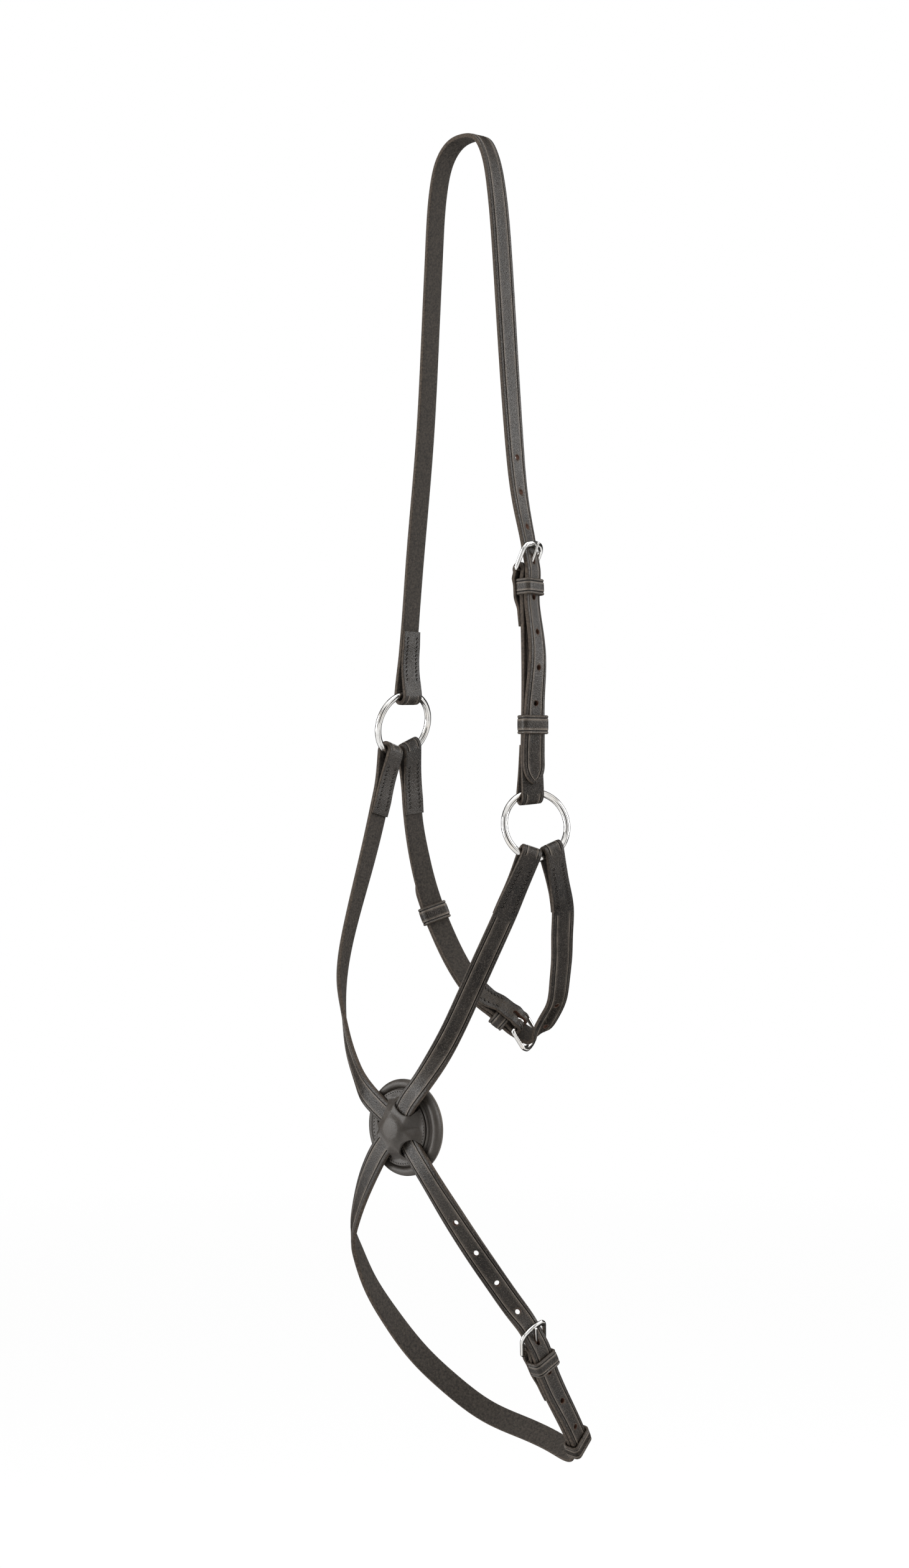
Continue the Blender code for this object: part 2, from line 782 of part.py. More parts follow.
def buckle_frame_mesh():
    """The frame, with its heel bar on the X axis and its front bar towards +Y."""
    half = HALF_WIDTH + FRAME_ROOM + SIDE_RADIUS
    heel = [(half * share, 0, HEEL_RADIUS, HEEL_RADIUS) for share in HEEL_BAR_shares]
    right = []
    for x, y in quarter(HEEL_CORNER, HEEL_CORNER_STEPS):
        right.append((half - HEEL_CORNER + x, HEEL_CORNER - y, SIDE_RADIUS, SIDE_RADIUS))
    right.reverse()
    right.append((half, FRAME_LENGTH / 2, SIDE_RADIUS, SIDE_RADIUS))
    corner = quarter(FRAME_CORNER, FRONT_CORNER_STEPS)
    for i, (x, y) in enumerate(corner):
        t = i / FRONT_CORNER_STEPS
        right.append((
            half - FRAME_CORNER + x, FRAME_LENGTH - FRAME_CORNER + y,
            SIDE_RADIUS + (FRONT_HALF_WIDTH - SIDE_RADIUS) * t,
            SIDE_RADIUS + (FRONT_HALF_THICK - SIDE_RADIUS) * t,
        ))
    reach = half - FRAME_CORNER
    front = [
        (x, FRAME_LENGTH, FRONT_HALF_WIDTH, FRONT_HALF_THICK)
        for x in (reach / 2, 0, -reach / 2)
    ]
    left = [(-x, y, wide, thick) for x, y, wide, thick in reversed(right)]
    return loop_mesh(heel + right + front + left)


def quarter(radius, steps):
    """Points of a quarter circle from +X round to +Y."""
    turns = [pi / 2 * i / steps for i in range(steps + 1)]
    return [(radius * cos(turn), radius * sin(turn)) for turn in turns]


def loop_mesh(path):
    """A closed bar through points that carry their own half sizes."""
    mesh = bmesh.new()
    rings = []
    count = len(path)
    for i, (x, y, wide, thick) in enumerate(path):
        bow = FRONT_BOW * max(0, 1 - (x / (HALF_WIDTH + FRAME_ROOM)) ** 2)
        bow *= smooth((y - FRAME_LENGTH / 2) / (FRAME_LENGTH / 2))
        x0, y0 = path[i - 1][:2]
        x1, y1 = path[(i + 1) % count][:2]
        flat = Vector((x1 - x0, y1 - y0, 0)).normalized()
        side = Vector((flat.y, -flat.x, 0))
        ring = []
        for k in range(BAR_SIDES):
            turn = 2 * pi * (k + 0.5) / BAR_SIDES
            stretch = 1 / cos(pi / BAR_SIDES)
            spot = Vector((x, y + bow, 0)) + side * wide * stretch * cos(turn)
            spot.z = thick * stretch * sin(turn)
            ring.append(mesh.verts.new(spot))
        rings.append(ring)
    skin(mesh, rings, closed=True)
    return mesh


def tongue_slope():
    """The tongue's rise: from its eye it lies over the middle of the front bar."""
    over = FRONT_HALF_THICK + LAYER_GAP + TONGUE_RADIUS
    front = FRAME_LENGTH + FRONT_BOW
    return FRAME_TILT + atan2(over, front) - asin(EYE_RADIUS / hypot(front, over))


def make_tongue(name, buckle, pivot):
    """A bent steel pin whose eye goes round the heel bar."""
    slope = tongue_slope()
    start = slope + pi / 2
    span = 2 * pi - acos(1 - (TONGUE_RADIUS * 2 + LAYER_GAP) / EYE_RADIUS)
    points = []
    for i in range(EYE_STEPS + 1):
        turn = start + span * (1 - i / EYE_STEPS)
        points.append((EYE_RADIUS * cos(turn), EYE_RADIUS * sin(turn), TONGUE_RADIUS))
    run = FRAME_LENGTH + FRONT_BOW + TONGUE_OVERHANG
    for share in TONGUE_shares:
        points.append((
            EYE_RADIUS * cos(start) + run * share * cos(slope),
            EYE_RADIUS * sin(start) + run * share * sin(slope),
            TONGUE_RADIUS + (TONGUE_TIP_RADIUS - TONGUE_RADIUS) * share ** 2,
        ))
    curve = bpy.data.curves.new(name, "CURVE")
    curve.dimensions = "3D"
    curve.bevel_depth = TONGUE_RADIUS
    curve.bevel_resolution = 1
    curve.use_fill_caps = True
    line = curve.splines.new("POLY")
    line.points.add(len(points) - 1)
    for knot, (along, out, radius) in zip(line.points, points):
        knot.co = (0, along, out, 1)
        knot.radius = radius / TONGUE_RADIUS
    made = bpy.data.objects.new(name, curve)
    PARTS.objects.link(made)
    made.matrix_world = buckle.matrix()
    curve.materials.append(steel())
    bpy.context.view_layer.update()
    hang(made, pivot)
    return made


def make_buckle(prefix, buckle, parent=None):
    """A frame and its tongue on one heel bar."""
    frame_pivot = add_pivot(prefix + "_buckle_hinge", buckle.matrix(), parent)
    mesh = buckle_frame_mesh()
    bmesh.ops.transform(
        mesh, matrix=buckle.matrix() @ Matrix.Rotation(FRAME_TILT, 4, "X"),
        verts=mesh.verts,
    )
    add_object(prefix + "_buckle_frame", mesh, steel(), frame_pivot, sharp=SMOOTH_TURN)
    tongue_pivot = add_pivot(prefix + "_tongue_hinge", buckle.matrix(), frame_pivot)
    make_tongue(prefix + "_buckle_tongue", buckle, tongue_pivot)


def slot_cutter(name, buckle, target):
    """The slot in a chape that the tongue's eye turns in."""
    mesh = bmesh.new()
    half = TONGUE_RADIUS + SLOT_ROOM
    low = -HEEL_BEND - STRAP_THICK
    high = SLOT_LENGTH
    size = Vector((2 * half, high - low, HEEL_BEND * SLOT_DEPTH_share))
    middle = Vector((0, -(high + low) / 2, 0))
    bmesh.ops.create_cube(
        mesh, size=1,
        matrix=buckle.matrix() @ Matrix.Translation(middle) @ Matrix.Diagonal((*size, 1)),
    )
    return add_cutter(name, mesh, target)


def tongue_crossing():
    """How far beyond the heel bar the tongue passes the billet's middle."""
    slope = tongue_slope()
    start = slope + pi / 2
    rise = BILLET_LIFT - EYE_RADIUS * sin(start) + EYE_RADIUS * cos(start) * tan(slope)
    return rise / (tan(slope) + BILLET_DIP / BILLET_LEAD)


def tongue_place(buckle, along):
    """A place on the billet's middle between the heel bar and the front bar."""
    return buckle.to_world(0, along, BILLET_LIFT - BILLET_DIP * along / BILLET_LEAD)


def tongue_hole(mesh, buckle):
    """An oblong hole along the tongue's line, with room for it to lift."""
    slope = tongue_slope()
    axis = buckle.along * cos(slope) + buckle.out * sin(slope)
    lifted = buckle.out * cos(slope) - buckle.along * sin(slope)
    middle = tongue_place(buckle, tongue_crossing()) + lifted * TONGUE_PLAY / 2
    factor = 1 + TONGUE_PLAY / 2 / (TONGUE_RADIUS + LAYER_GAP)
    rod(
        mesh, middle, axis, TONGUE_RADIUS + LAYER_GAP, TONGUE_HOLE_LENGTH,
        stretch=(lifted, factor),
    )


# Keepers


def strap_room(frame, width, routes):
    """How far straps reach from a band's middle: sideways, down and up."""
    sides, outs = [], []
    for route in routes:
        middle = route.nearest(frame.point)
        for step in (-width / 2, 0, width / 2):
            spot = route.at(middle + step)
            for across in (-HALF_WIDTH, HALF_WIDTH):
                for out in (-HALF_THICK, HALF_THICK):
                    away = spot.to_world(across, 0, out) - frame.point
                    sides.append(abs(away.dot(frame.across)))
                    outs.append(away.dot(frame.out))
    return max(sides), min(outs), max(outs)


def make_band(name, frame, routes, width, pivot=None):
    """A leather band round the straps that pass through it."""
    mesh = bmesh.new()
    aside, low, high = strap_room(frame, width, routes)
    half = aside + KEEPER_SLACK + KEEPER_WALL / 2
    bottom = low - KEEPER_SLACK - KEEPER_WALL / 2
    top = high + KEEPER_SLACK + KEEPER_WALL / 2
    corner = KEEPER_CORNER
    path = []
    centres = [
        (half - corner, top - corner, 0), (corner - half, top - corner, 1),
        (corner - half, bottom + corner, 2), (half - corner, bottom + corner, 3),
    ]
    for x, z, quadrant in centres:
        for i in range(BAND_CORNER_STEPS + 1):
            turn = pi / 2 * (quadrant + i / BAND_CORNER_STEPS)
            path.append((x + corner * cos(turn), z + corner * sin(turn), turn))
    rings = []
    wall, wide = KEEPER_WALL / 2, width / 2
    bevel = KEEPER_WALL * KEEPER_BEVEL_share
    outline = [
        (-wall, -wide), (wall - bevel, -wide), (wall, bevel - wide),
        (wall, wide - bevel), (wall - bevel, wide), (-wall, wide),
    ]
    for x, z, turn in path:
        ring = []
        for out, along in outline:
            spot = frame.to_world(x + out * cos(turn), along, z + out * sin(turn))
            ring.append(mesh.verts.new(spot))
        rings.append(ring)
    skin(mesh, rings, closed=True)
    return add_object(name, mesh, strap_leather(), pivot)


# Nose pad


def turned(name, profile, surface, frame, pivot):
    """A round piece from a profile that runs down its outer side."""
    data = bpy.data.meshes.new(name)
    data.from_pydata([(r, 0, z) for r, z in profile],
                     [(i, i + 1) for i in range(len(profile) - 1)], [])
    made = finish_object(name, data, surface)
    screw = made.modifiers.new("turn", "SCREW")
    screw.axis = "Z"
    screw.angle = 2 * pi
    screw.steps = screw.render_steps = PAD_STEPS
    screw.use_merge_vertices = True
    screw.merge_threshold = EDGE_BEVEL * MERGE_share
    screw.use_smooth_shade = True
    made.matrix_world = frame.matrix()
    bpy.context.view_layer.update()
    hang(made, pivot)
    return made


def arc(centre_r, centre_z, radius, start, end, steps):
    """Points of a round corner, by angles in degrees."""
    turns = [radians(start + (end - start) * i / steps) for i in range(steps + 1)]
    return [(centre_r + radius * cos(t), centre_z + radius * sin(t)) for t in turns]


def base_profile():
    """The base's half section: a plateau, a ridge, a groove and a thick rim."""
    low = PAD_LINING_THICK + LAYER_GAP
    flat = low + PAD_PLATEAU
    ridge = PAD_RADIUS - PAD_RIM_WIDTH - PAD_RIDGE_WIDTH
    high = low + PAD_RIM_HEIGHT
    rim = PAD_RIM_WIDTH / 2
    profile = [(0, flat), (ridge - PAD_RIDGE_WIDTH, flat)]
    profile += arc(ridge, flat, PAD_RIDGE_WIDTH / 2, *RIDGE_ARC)
    profile.append((PAD_RADIUS - PAD_RIM_WIDTH, flat - PAD_GROOVE_DEPTH / 2))
    profile += arc(PAD_RADIUS - rim, high - rim, rim, *RIM_ARC)
    profile += [
        (PAD_RADIUS, low + PAD_EDGE_ROUND),
        (PAD_RADIUS - PAD_EDGE_ROUND, low),
        (0, low),
    ]
    return profile


def lining_profile():
    edge = PAD_RADIUS - PAD_LINING_MARGIN
    return [
        (0, PAD_LINING_THICK),
        (edge, PAD_LINING_THICK),
        (edge, PAD_LINING_THICK / 2),
        (edge - PAD_LINING_THICK / 2, 0),
        (0, 0),
    ]


def cover_reach(angle):
    """How far the cover runs out at an angle: long lobes, short over the straps."""
    near = min(
        abs((angle - exit + 180) % 360 - 180) for exit in PAD_EXITS.values()
    )
    start = degrees(asin((HALF_WIDTH + COVER_ASIDE) / COVER_REACH))
    end = degrees(asin((HALF_WIDTH + COVER_ASIDE) / COVER_EXIT))
    share = smooth((near - start) / (end - start))
    return COVER_EXIT + (COVER_REACH - COVER_EXIT) * share, near


def cover_height(radius, angle):
    """The height of the cover's under side above the straps' bed."""
    _, near = cover_reach(angle)
    over = UPPER_LIFT + HALF_THICK + LAYER_GAP
    foot = PAD_TOP + PAD_RIDGE_WIDTH / 2 + LAYER_GAP
    crown = over + COVER_FOOT * (1 - (radius / COVER_REACH) ** 2)
    beside = radius * sin(radians(near)) - HALF_WIDTH - COVER_ASIDE
    return crown + (foot - crown) * smooth(beside / COVER_FALL)


def make_cover(name, frame, pivot):
    """The moulded cover: a dome over the crossing with four sewn lobes."""
    mesh = bmesh.new()
    sides, bands = COVER_SIDES, COVER_BANDS
    top_middle = mesh.verts.new(
        frame.to_world(0, 0, cover_height(0, 0) + COVER_WALL)
    )
    low_middle = mesh.verts.new(frame.to_world(0, 0, cover_height(0, 0)))
    tops, lows = [], []
    for band in range(1, bands + 1):
        top, low = [], []
        for i in range(sides):
            angle = 360 * i / sides
            reach, _ = cover_reach(angle)
            radius = reach * band / bands
            turn = radians(angle)
            height = cover_height(radius, angle)
            inset = COVER_INSET if band == bands else 0
            low.append(mesh.verts.new(
                frame.to_world(radius * cos(turn), radius * sin(turn), height)))
            radius -= inset
            top.append(mesh.verts.new(
                frame.to_world(radius * cos(turn), radius * sin(turn),
                               height + COVER_WALL)))
        tops.append(top)
        lows.append(low)
    for i in range(sides):
        j = (i + 1) % sides
        mesh.faces.new((top_middle, tops[0][i], tops[0][j]))
        mesh.faces.new((low_middle, lows[0][j], lows[0][i]))
        mesh.faces.new((tops[-1][i], lows[-1][i], lows[-1][j], tops[-1][j]))
        for a, b in zip(range(bands - 1), range(1, bands)):
            mesh.faces.new((tops[a][i], tops[b][i], tops[b][j], tops[a][j]))
            mesh.faces.new((lows[a][i], lows[a][j], lows[b][j], lows[b][i]))
    bmesh.ops.recalc_face_normals(mesh, faces=mesh.faces)
    return add_object(name, mesh, pad_leather(), pivot, sharp=SMOOTH_TURN)


def pad_place(pad, angle, radius, lift):
    turn = radians(angle)
    return pad.to_world(radius * cos(turn), radius * sin(turn), lift)


# Assembly


def chape_fold():
    """The fold that holds a buckle, with room for the keeper behind it."""
    return Fold(HEEL_BEND, CHAPE_LENGTH, CHAPE_FOLD, keeper_room=KEEPER_ROOM)


def chape_rows(before, heel, facing):
    """The straight end of a chape, up to the middle of its heel bar."""
    out = heading(*facing)
    end = heel + out * LAYER / 2
    step = (end - before).normalized() * CHAPE_STRAIGHT
    return [(end - step, out), (end - step / 2, out), (end, out)]


def buckle_at(route):
    """The buckle's frame at the end of a chape: its heel bar, onward and out."""
    end = route.at(route.length)
    return Frame(end.point - end.out * LAYER / 2, end.along, end.out)


def shared_marks(route, reach, ring_end=None):
    """Where a strap and the billet on it both have stations.

    Gives the strap's own run of stations, and the billet's distances back
    from the heel bar.
    """
    chape = chape_fold()
    far = route.length - ring_end.lap if ring_end else reach
    run = route.distances(route.length - far, route.length - chape.lap)
    shared = chape.marks()[::-1] + [route.length - mark for mark in run[-2::-1]]
    if ring_end:
        shared += [route.length - mark for mark in ring_end.marks()[1:]]
        shared.append(reach)
    return run, shared


def billet_rows(route, buckle, shared, bow=None, ring_end=None,
                fronts=BILLET_FRONT_shares):
    """Places of a billet that lies on a strap, from the front bar to its tip."""
    fall = (buckle.out + buckle.along * BILLET_DIP / BILLET_LEAD).normalized()
    rows = [
        (tongue_place(buckle, BILLET_LEAD * share), fall)
        for share in fronts
    ]
    back = buckle.to_world(0, -BILLET_LEAD * BILLET_BACK_share, BILLET_LIFT)
    rows.append((back, buckle.out))
    settle = KEEPER_PLACE + KEEPER_WIDTH
    for distance in shared:
        frame = route.at(route.length - distance)
        lift = LAYER
        lift += (BILLET_LIFT - LAYER / 2 - LAYER) * (1 - smooth(distance / settle))
        if ring_end:
            lift += ring_end.flare(route.length - distance) - LAYER / 2
        if bow:
            lift += bow(distance)
        rows.append((frame.point + frame.out * lift, frame.out))
    return rows


def billet_run(route, rows):
    """The stations of a billet's last rows, up to where its point starts."""
    straight = route.length - POINT_LENGTH - LAYER_GAP
    return [knot for knot in route.knots[-len(rows):] if knot < straight]


def punch(prefix, target, route, buckle, counts):
    """The round holes of a billet and the oblong one its tongue is in."""
    before, after = counts
    mark = route.nearest(tongue_place(buckle, tongue_crossing()))
    mesh = bmesh.new()
    for i in range(-before, after + 1):
        if i != 0:
            frame = route.at(mark + HOLE_PITCH * i)
            rod(mesh, frame.point, frame.out, HOLE_DIAMETER / 2,
                STRAP_THICK + 2 * OVERRUN)
    tongue_hole(mesh, buckle)
    add_cutter(prefix + "_holes", mesh, target)


def make_bands(prefix, route, billet, runner_place, pivot=None):
    """The keeper sewn in behind a buckle and the runner that slides."""
    behind = route.at(route.length - KEEPER_PLACE)
    make_band(prefix + "_keeper", behind, [route, billet], KEEPER_WIDTH, pivot)
    frame = route.at(route.length - runner_place)
    slide = add_pivot(prefix + "_runner_slide", frame.matrix(), pivot)
    make_band(prefix + "_runner", frame, [route, billet], RUNNER_WIDTH, slide)


def build_head(left, right):
    """The cheek strap with its buckle, and the headpiece that fastens to it."""
    heel = place(CHEEK_HEEL_shares, 0, RIGHT_DROP)
    share, bulge, *facing = CHEEK_MIDDLE_shares
    out = heading(*facing)
    middle = right.wire(TOP_LOOP_RIGHT_ANGLE, down=False).lerp(heel, share)
    middle += out * (bulge * HALF_SPREAD + LAYER / 2)
    ring_end, rows = ring_fold(
        right, TOP_LOOP_RIGHT_ANGLE, middle, down=False, lap=CHEEK_LAP_LENGTH)
    rows.append((middle, out))
    rows += chape_rows(rows[-1][0], heel, CHEEK_FACING)
    cheek = Route(rows)
    run, shared = shared_marks(cheek, cheek.length - CHEEK_TIP_MARGIN, ring_end)
    strap = add_object(
        "cheek_strap",
        strap_mesh(cheek, start=ring_end, end=chape_fold(), runs=[run]),
        strap_leather(),
    )
    buckle = buckle_at(cheek)
    slot_cutter("cheek_slot", buckle, strap)

    def bow(distance):
        start = KEEPER_PLACE + KEEPER_WIDTH / 2
        end = CHEEK_RUNNER_PLACE - RUNNER_WIDTH / 2
        share = min(max((distance - start) / (end - start), 0), 1)
        return BILLET_BOW * sin(pi * share) ** 2

    onward = places(HEAD_LEFT_shares, 0, LEFT_DROP)
    start, rows = ring_fold(left, TOP_LOOP_LEFT_ANGLE, onward[0][0], down=False)
    rows += onward
    rows.append((Vector((0, 0, HALF_THICK)), UP))
    rows += places(HEAD_RIGHT_shares, 0, RIGHT_DROP)
    billet = billet_rows(cheek, buckle, shared, bow, ring_end)
    head = Route(rows + billet)
    strap = add_object(
        "headpiece_strap",
        strap_mesh(head, start=start, tip=True, runs=[billet_run(head, billet)]),
        strap_leather(),
    )
    punch("headpiece", strap, head, buckle, HEAD_HOLE_counts)
    make_bands("cheek", cheek, head, CHEEK_RUNNER_PLACE)
    make_buckle("cheek", buckle)


def build_rings(left, right):
    """Both rings, each hanging from the loop above it."""
    pivots = []
    for name, ring, angle in (
        ("ring_left", left, TOP_LOOP_LEFT_ANGLE),
        ("ring_right", right, TOP_LOOP_RIGHT_ANGLE),
    ):
        top = ring.wire(angle, down=False)
        pivot = add_pivot(name + "_sway", Frame(top, ring.up, ring.out).matrix())
        make_ring(name, ring, pivot)
        pivots.append(pivot)
    return pivots


def loop_pivot(name, ring, angle, parent):
    """An empty on the wire in one of a ring's lower loops."""
    frame = Frame(ring.wire(angle), -ring.up, ring.out)
    return add_pivot(name, frame.matrix(), parent)


def lower_end(ring, angle, table, drop, bottom):
    """A strap's fold in a ring's lower half and its first places."""
    onward = places(table, drop + RING_RADIUS, bottom)
    fold, rows = ring_fold(ring, angle, onward[0][0], width=LOOP_WIDTH)
    return fold, rows + onward


def crossing(pad, first, last, first_lift, middle_lift, last_lift):
    """Places of a strap that lies straight through the pad."""
    edge = PAD_RADIUS * PAD_EDGE_share
    inner = PAD_RADIUS * PAD_EXIT_share
    return [
        (pad_place(pad, PAD_EDGES[first], edge, first_lift), pad.out),
        (pad_place(pad, PAD_EXITS[first], inner, middle_lift), pad.out),
        (pad_place(pad, PAD_EXITS[first], 0, middle_lift), pad.out),
        (pad_place(pad, PAD_EXITS[last], inner, middle_lift), pad.out),
        (pad_place(pad, PAD_EDGES[last], edge, last_lift), pad.out),
    ]


def build_nose(left, right, left_pivot):
    """The crossing nose straps, which buckle to each other under the chin."""
    middle = place((*PAD_PLACE_shares, 1), 0, PAD_DROP)
    pad_out = heading(*PAD_FACING)
    pad = Frame(middle - pad_out * LOWER_LIFT, UP, pad_out)
    pivot = loop_pivot("nose_left_pivot", left, NOSE_LOOP_ANGLE, left_pivot)

    start, rows = lower_end(
        right, NOSE_LOOP_ANGLE, NOSE_RIGHT_shares, RIGHT_DROP, PAD_DROP)
    first = len(rows)
    over = crossing(pad, "near_up", "far_down", UPPER_LIFT, UPPER_LIFT,
                    LOWER_LIFT + LAYER / 2)
    rows += over + places(CHIN_FAR_shares, PAD_DROP, CHIN_DROP)
    rows += places(CHIN_LINE_shares, PAD_DROP, CHIN_DROP)
    heel = place(CHIN_HEEL_shares, PAD_DROP, CHIN_DROP)
    rows += chape_rows(rows[-1][0], heel, CHIN_FACING)
    lower = Route(rows)
    run, shared = shared_marks(lower, CHIN_BILLET_END)
    strap = add_object(
        "nose_strap_right",
        strap_mesh(lower, start=start, end=chape_fold(),
                   runs=[lower.knots[first:first + len(over)], run]),
        strap_leather(), pivot,
    )
    buckle = buckle_at(lower)
    slot_cutter("chin_slot", buckle, strap)

    start, rows = lower_end(left, NOSE_LOOP_ANGLE, NOSE_LEFT_shares, LEFT_DROP, PAD_DROP)
    first = len(rows)
    under = crossing(pad, "far_up", "near_down", LOWER_LIFT, LOWER_LIFT, LOWER_LIFT)
    rows += under + places(CHIN_NEAR_shares, PAD_DROP, CHIN_DROP)
    billet = billet_rows(lower, buckle, shared)
    upper = Route(rows + billet)
    strap = add_object(
        "nose_strap_left",
        strap_mesh(upper, start=start, tip=True,
                   runs=[upper.knots[first:first + len(under)],
                         billet_run(upper, billet)]),
        strap_leather(), pivot,
    )
    punch("chin", strap, upper, buckle, CHIN_HOLE_counts)
    make_bands("chin", lower, upper, CHIN_RUNNER_PLACE, pivot)
    make_buckle("chin", buckle, pivot)
    return pad, pivot


def build_jaw(left, right, left_pivot):
    """The jaw straps, which buckle to each other behind the jaw."""
    pivot = loop_pivot("jaw_left_pivot", left, JAW_LOOP_ANGLE, left_pivot)
    start, rows = lower_end(left, JAW_LOOP_ANGLE, JAW_LEFT_shares, LEFT_DROP, JAW_DROP)
    heel = place(JAW_HEEL_shares, LEFT_DROP + RING_RADIUS, JAW_DROP)
    rows += chape_rows(rows[-1][0], heel, JAW_FACING)
    lower = Route(rows)
    run, shared = shared_marks(lower, JAW_BILLET_END)
    strap = add_object(
        "jaw_strap_left",
        strap_mesh(lower, start=start, end=chape_fold(), runs=[run]),
        strap_leather(), pivot,
    )
    buckle = buckle_at(lower)
    slot_cutter("jaw_slot", buckle, strap)

    start, rows = lower_end(
        right, JAW_LOOP_ANGLE, JAW_RIGHT_shares, RIGHT_DROP, JAW_DROP)
    billet = billet_rows(lower, buckle, shared, fronts=JAW_FRONT_shares)
    upper = Route(rows + billet)
    strap = add_object(
        "jaw_strap_right",
        strap_mesh(upper, start=start, tip=True, runs=[billet_run(upper, billet)]),
        strap_leather(), pivot,
    )
    punch("jaw", strap, upper, buckle, JAW_HOLE_counts)
    make_bands("jaw", lower, upper, JAW_RUNNER_PLACE, pivot)
    make_buckle("jaw", buckle, pivot)


def build():
    left = Ring(LEFT_RING_shares, LEFT_DROP, LEFT_RING_FACING)
    right = Ring(RIGHT_RING_shares, RIGHT_DROP, RIGHT_RING_FACING)
    build_head(left, right)
    left_pivot, _ = build_rings(left, right)
    pad, nose_pivot = build_nose(left, right, left_pivot)
    turned("pad_lining", lining_profile(), lining_leather(), pad, nose_pivot)
    turned("pad_base", base_profile(), pad_leather(), pad, nose_pivot)
    make_cover("pad_cover", pad, nose_pivot)
    build_jaw(left, right, left_pivot)


for old in list(bpy.data.objects):
    bpy.data.objects.remove(old, do_unlink=True)
PARTS = new_collection("figure_eight_noseband")
CUTTERS = new_collection("cutters")
build()
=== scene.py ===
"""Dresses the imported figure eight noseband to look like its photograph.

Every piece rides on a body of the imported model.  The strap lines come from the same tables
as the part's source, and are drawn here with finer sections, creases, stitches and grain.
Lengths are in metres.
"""

from math import acos, asin, atan2, ceil, cos, degrees, exp, hypot, pi, radians, sin, sqrt, tan

import bmesh
import bpy
import numpy as np
from mathutils import Matrix, Vector


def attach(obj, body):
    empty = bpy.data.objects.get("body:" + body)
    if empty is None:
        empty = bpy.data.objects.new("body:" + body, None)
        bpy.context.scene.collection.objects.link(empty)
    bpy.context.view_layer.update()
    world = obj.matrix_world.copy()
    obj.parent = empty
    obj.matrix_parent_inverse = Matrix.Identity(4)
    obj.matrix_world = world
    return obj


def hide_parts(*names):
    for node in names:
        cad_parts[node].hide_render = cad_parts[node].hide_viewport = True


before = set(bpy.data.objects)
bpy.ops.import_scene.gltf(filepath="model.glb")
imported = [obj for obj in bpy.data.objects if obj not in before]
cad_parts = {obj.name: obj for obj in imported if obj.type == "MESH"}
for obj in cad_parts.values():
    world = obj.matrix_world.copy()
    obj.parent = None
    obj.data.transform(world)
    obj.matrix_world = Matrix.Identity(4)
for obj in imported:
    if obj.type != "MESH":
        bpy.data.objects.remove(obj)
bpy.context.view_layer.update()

# Sizes shared with the part's source
STRAP_WIDTH = 0.0145
STRAP_THICK = 0.0028
LAYER_GAP = 0.0003
LAP_LENGTH = 0.041
CHEEK_LAP_LENGTH = 0.030
LAP_THICK = 0.0020
LAP_END_THICK = 0.0012
SKIVE_LENGTH = 0.009
POINT_LENGTH = 0.013
HOLE_DIAMETER = 0.004
HOLE_PITCH = 0.0225
RING_INSIDE = 0.038
RING_WIRE = 0.0042
RING_SLACK = 0.0010
RING_FOLD = 0.016
FOLD_SLANT_share = 0.85
LOOP_WIDTH = 0.0128
KEEPER_WIDTH = 0.0102
RUNNER_WIDTH = 0.0118
KEEPER_WALL = 0.0016
KEEPER_SLACK = 0.0004
KEEPER_CORNER = 0.0024
KEEPER_PLACE = 0.0112
KEEPER_ROOM = 0.0024
HEEL_RADIUS = 0.0015
HEEL_SLACK = 0.0003
FRAME_LENGTH = 0.016
FRAME_ROOM = 0.0012
SIDE_RADIUS = 0.0014
FRONT_HALF_WIDTH = 0.0021
FRONT_HALF_THICK = 0.0012
FRAME_CORNER = 0.0036
FRONT_CLEAR = 0.0016
FRONT_BOW = 0.0016
HEEL_CORNER = 0.0017
BILLET_DIP = 0.0022
TONGUE_RADIUS = 0.0011
TONGUE_TIP_RADIUS = 0.0008
TONGUE_OVERHANG = 0.0016
TONGUE_PLAY = 0.0011
SLOT_ROOM = 0.0006
SLOT_LENGTH = 0.0075
TONGUE_HOLE_LENGTH = 0.014
CHAPE_LENGTH = 0.036
CHAPE_FOLD = 0.011
CHAPE_STRAIGHT = 0.020
PAD_DIAMETER = 0.061
PAD_LINING_THICK = 0.0022
PAD_LINING_MARGIN = 0.0012
PAD_PLATEAU = 0.0040
PAD_RIM_HEIGHT = 0.0052
PAD_RIM_WIDTH = 0.0058
PAD_GROOVE_DEPTH = 0.0014
PAD_RIDGE_WIDTH = 0.0026
PAD_EDGE_ROUND = 0.0014
COVER_WALL = 0.0016
COVER_ASIDE = 0.0008
HALF_SPREAD = 0.060
HEAD_REACH = 0.060
LEFT_DROP = 0.375
RIGHT_DROP = 0.440
PAD_DROP = 0.632
CHIN_SPAN = 0.219
JAW_SPAN = 0.193
LEFT_RING_shares = (-1.023, 0.0)
RIGHT_RING_shares = (0.955, 0.023)
LEFT_RING_FACING = (177, 16)
RIGHT_RING_FACING = (-25, 10)
TOP_LOOP_LEFT_ANGLE = -2
TOP_LOOP_RIGHT_ANGLE = -6.5
NOSE_LOOP_ANGLE = -18
LOOP_SPACING_share = 1.21
CHEEK_TIP_MARGIN = 0.0058
BILLET_BOW = 0.0030
BILLET_FRONT_shares = (1.0, 0.5, 0.0)
JAW_FRONT_shares = (0.72, 0.4, 0.0)
BILLET_BACK_share = 0.25
CHEEK_RUNNER_PLACE = 0.098
CHIN_RUNNER_PLACE = 0.078
CHIN_BILLET_END = 0.090
JAW_RUNNER_PLACE = 0.096
JAW_BILLET_END = 0.122
PAD_PLACE_shares = (-0.035, -1.0)
